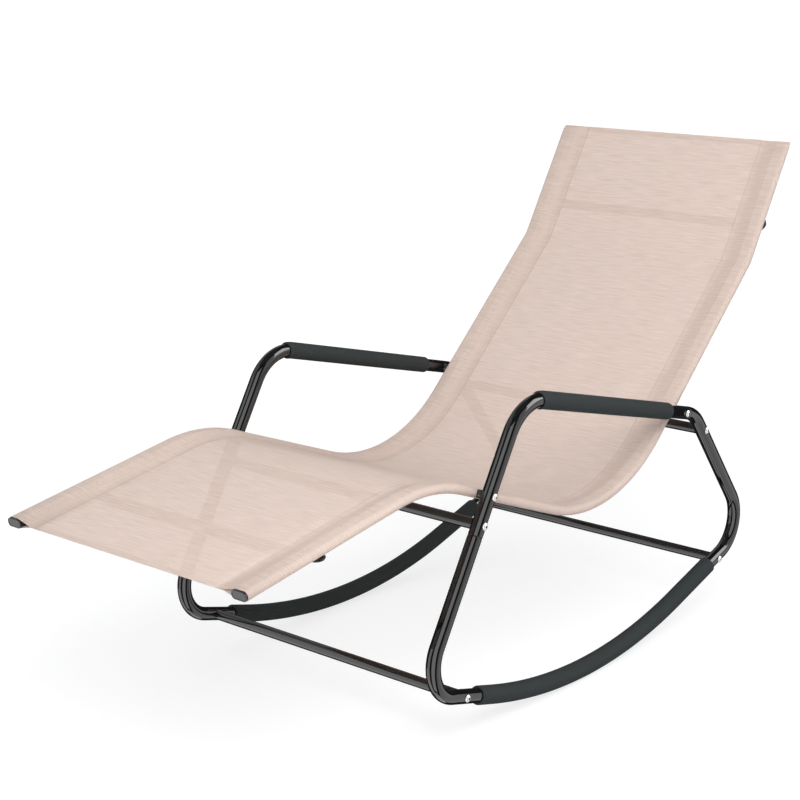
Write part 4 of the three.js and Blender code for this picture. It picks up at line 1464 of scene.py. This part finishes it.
class LOUNGE_OT_studio(Operator):
    """Add the floor, the soft lamp, the reflected cards, the world and the camera"""

    bl_idname = "lounge.studio"
    bl_label = "Studio"

    def execute(self, context):
        studio = context.scene.lounge_studio
        self.add_floor(context.scene.lounge_finishes)
        turn = math.degrees(studio.azimuth)
        middle = Vector((0, 0, studio.target_z))
        for name, (turns, heights, level, radius) in CARDS.items():
            turns = [angle + turn for angle in turns]
            reflected_card(name, turns, heights, level, radius, middle)
        context.scene.camera = self.add_camera(studio)
        self.add_lamp(studio)
        context.scene.world = white_world(WORLD_LEVEL)
        context.scene.view_settings.view_transform = "Standard"
        return {"FINISHED"}

    def add_floor(self, finishes):
        bm = bmesh.new()
        bmesh.ops.create_grid(bm, x_segments=1, y_segments=1, size=FLOOR_REACH)
        material = floor_material("studio_floor", finishes.floor)
        floor = add_object("studio_floor", make_mesh(bm, "studio_floor", material))
        floor.visible_glossy = False

    def add_camera(self, studio):
        """The camera of the photograph."""
        target = Vector((0, studio.target_y, studio.target_z))
        away = Vector((
            math.cos(studio.elevation) * math.sin(studio.azimuth),
            -math.cos(studio.elevation) * math.cos(studio.azimuth),
            math.sin(studio.elevation)))
        camera = add_object("camera", bpy.data.cameras.new("camera"))
        camera.data.lens = studio.lens
        camera.data.sensor_width = SENSOR_WIDTH
        camera.data.shift_x = -studio.frame_shift
        camera.data.shift_y = studio.frame_shift
        camera.location = target + away * studio.distance
        look_at(camera, target)
        return camera

    def add_lamp(self, studio):
        """One broad soft lamp, high on the near side."""
        lamp = add_object("key_lamp", bpy.data.lights.new("key_lamp", "AREA"))
        lamp.data.shape = "DISK"
        lamp.data.size = LAMP_SIZE
        lamp.data.energy = studio.key_power
        lamp.visible_glossy = False
        lamp.location = LAMP_PLACE
        look_at(lamp, LAMP_TARGET)


# Sidebar

STEPS = (
    LOUNGE_OT_carried_nodes,
    LOUNGE_OT_side_frames,
    LOUNGE_OT_foam_sleeves,
    LOUNGE_OT_crossbars,
    LOUNGE_OT_seat_rails,
    LOUNGE_OT_sling,
    LOUNGE_OT_braces,
    LOUNGE_OT_fasteners,
    LOUNGE_OT_studio,
)


GROUPS = {
    "lounge_sizes": LoungeSizes,
    "lounge_finishes": LoungeFinishes,
    "lounge_studio": LoungeStudio,
}


class LOUNGE_PT_steps(Panel):
    """Lists the steps that build the lounge"""

    bl_idname = "LOUNGE_PT_steps"
    bl_label = "Rocking Lounge"
    bl_space_type = "VIEW_3D"
    bl_region_type = "UI"
    bl_category = "Lounge"

    def draw(self, context):
        for step in STEPS:
            self.layout.operator(step.bl_idname)
        for group_name in GROUPS:
            group = getattr(context.scene, group_name)
            box = self.layout.box()
            for name in group.__annotations__:
                box.prop(group, name)


CLASSES = (*GROUPS.values(), *STEPS, LOUNGE_PT_steps)


def register():
    for item in CLASSES:
        bpy.utils.register_class(item)
    for name, group in GROUPS.items():
        setattr(bpy.types.Scene, name, PointerProperty(type=group))


def unregister():
    for name in GROUPS:
        delattr(bpy.types.Scene, name)
    for item in reversed(CLASSES):
        bpy.utils.unregister_class(item)


def main():
    register()
    bpy.ops.lounge.carried_nodes()
    bpy.ops.lounge.side_frames()
    bpy.ops.lounge.foam_sleeves()
    bpy.ops.lounge.crossbars()
    bpy.ops.lounge.seat_rails()
    bpy.ops.lounge.sling()
    bpy.ops.lounge.braces()
    bpy.ops.lounge.fasteners()
    bpy.ops.lounge.studio()


if __name__ == "__main__":
    main()
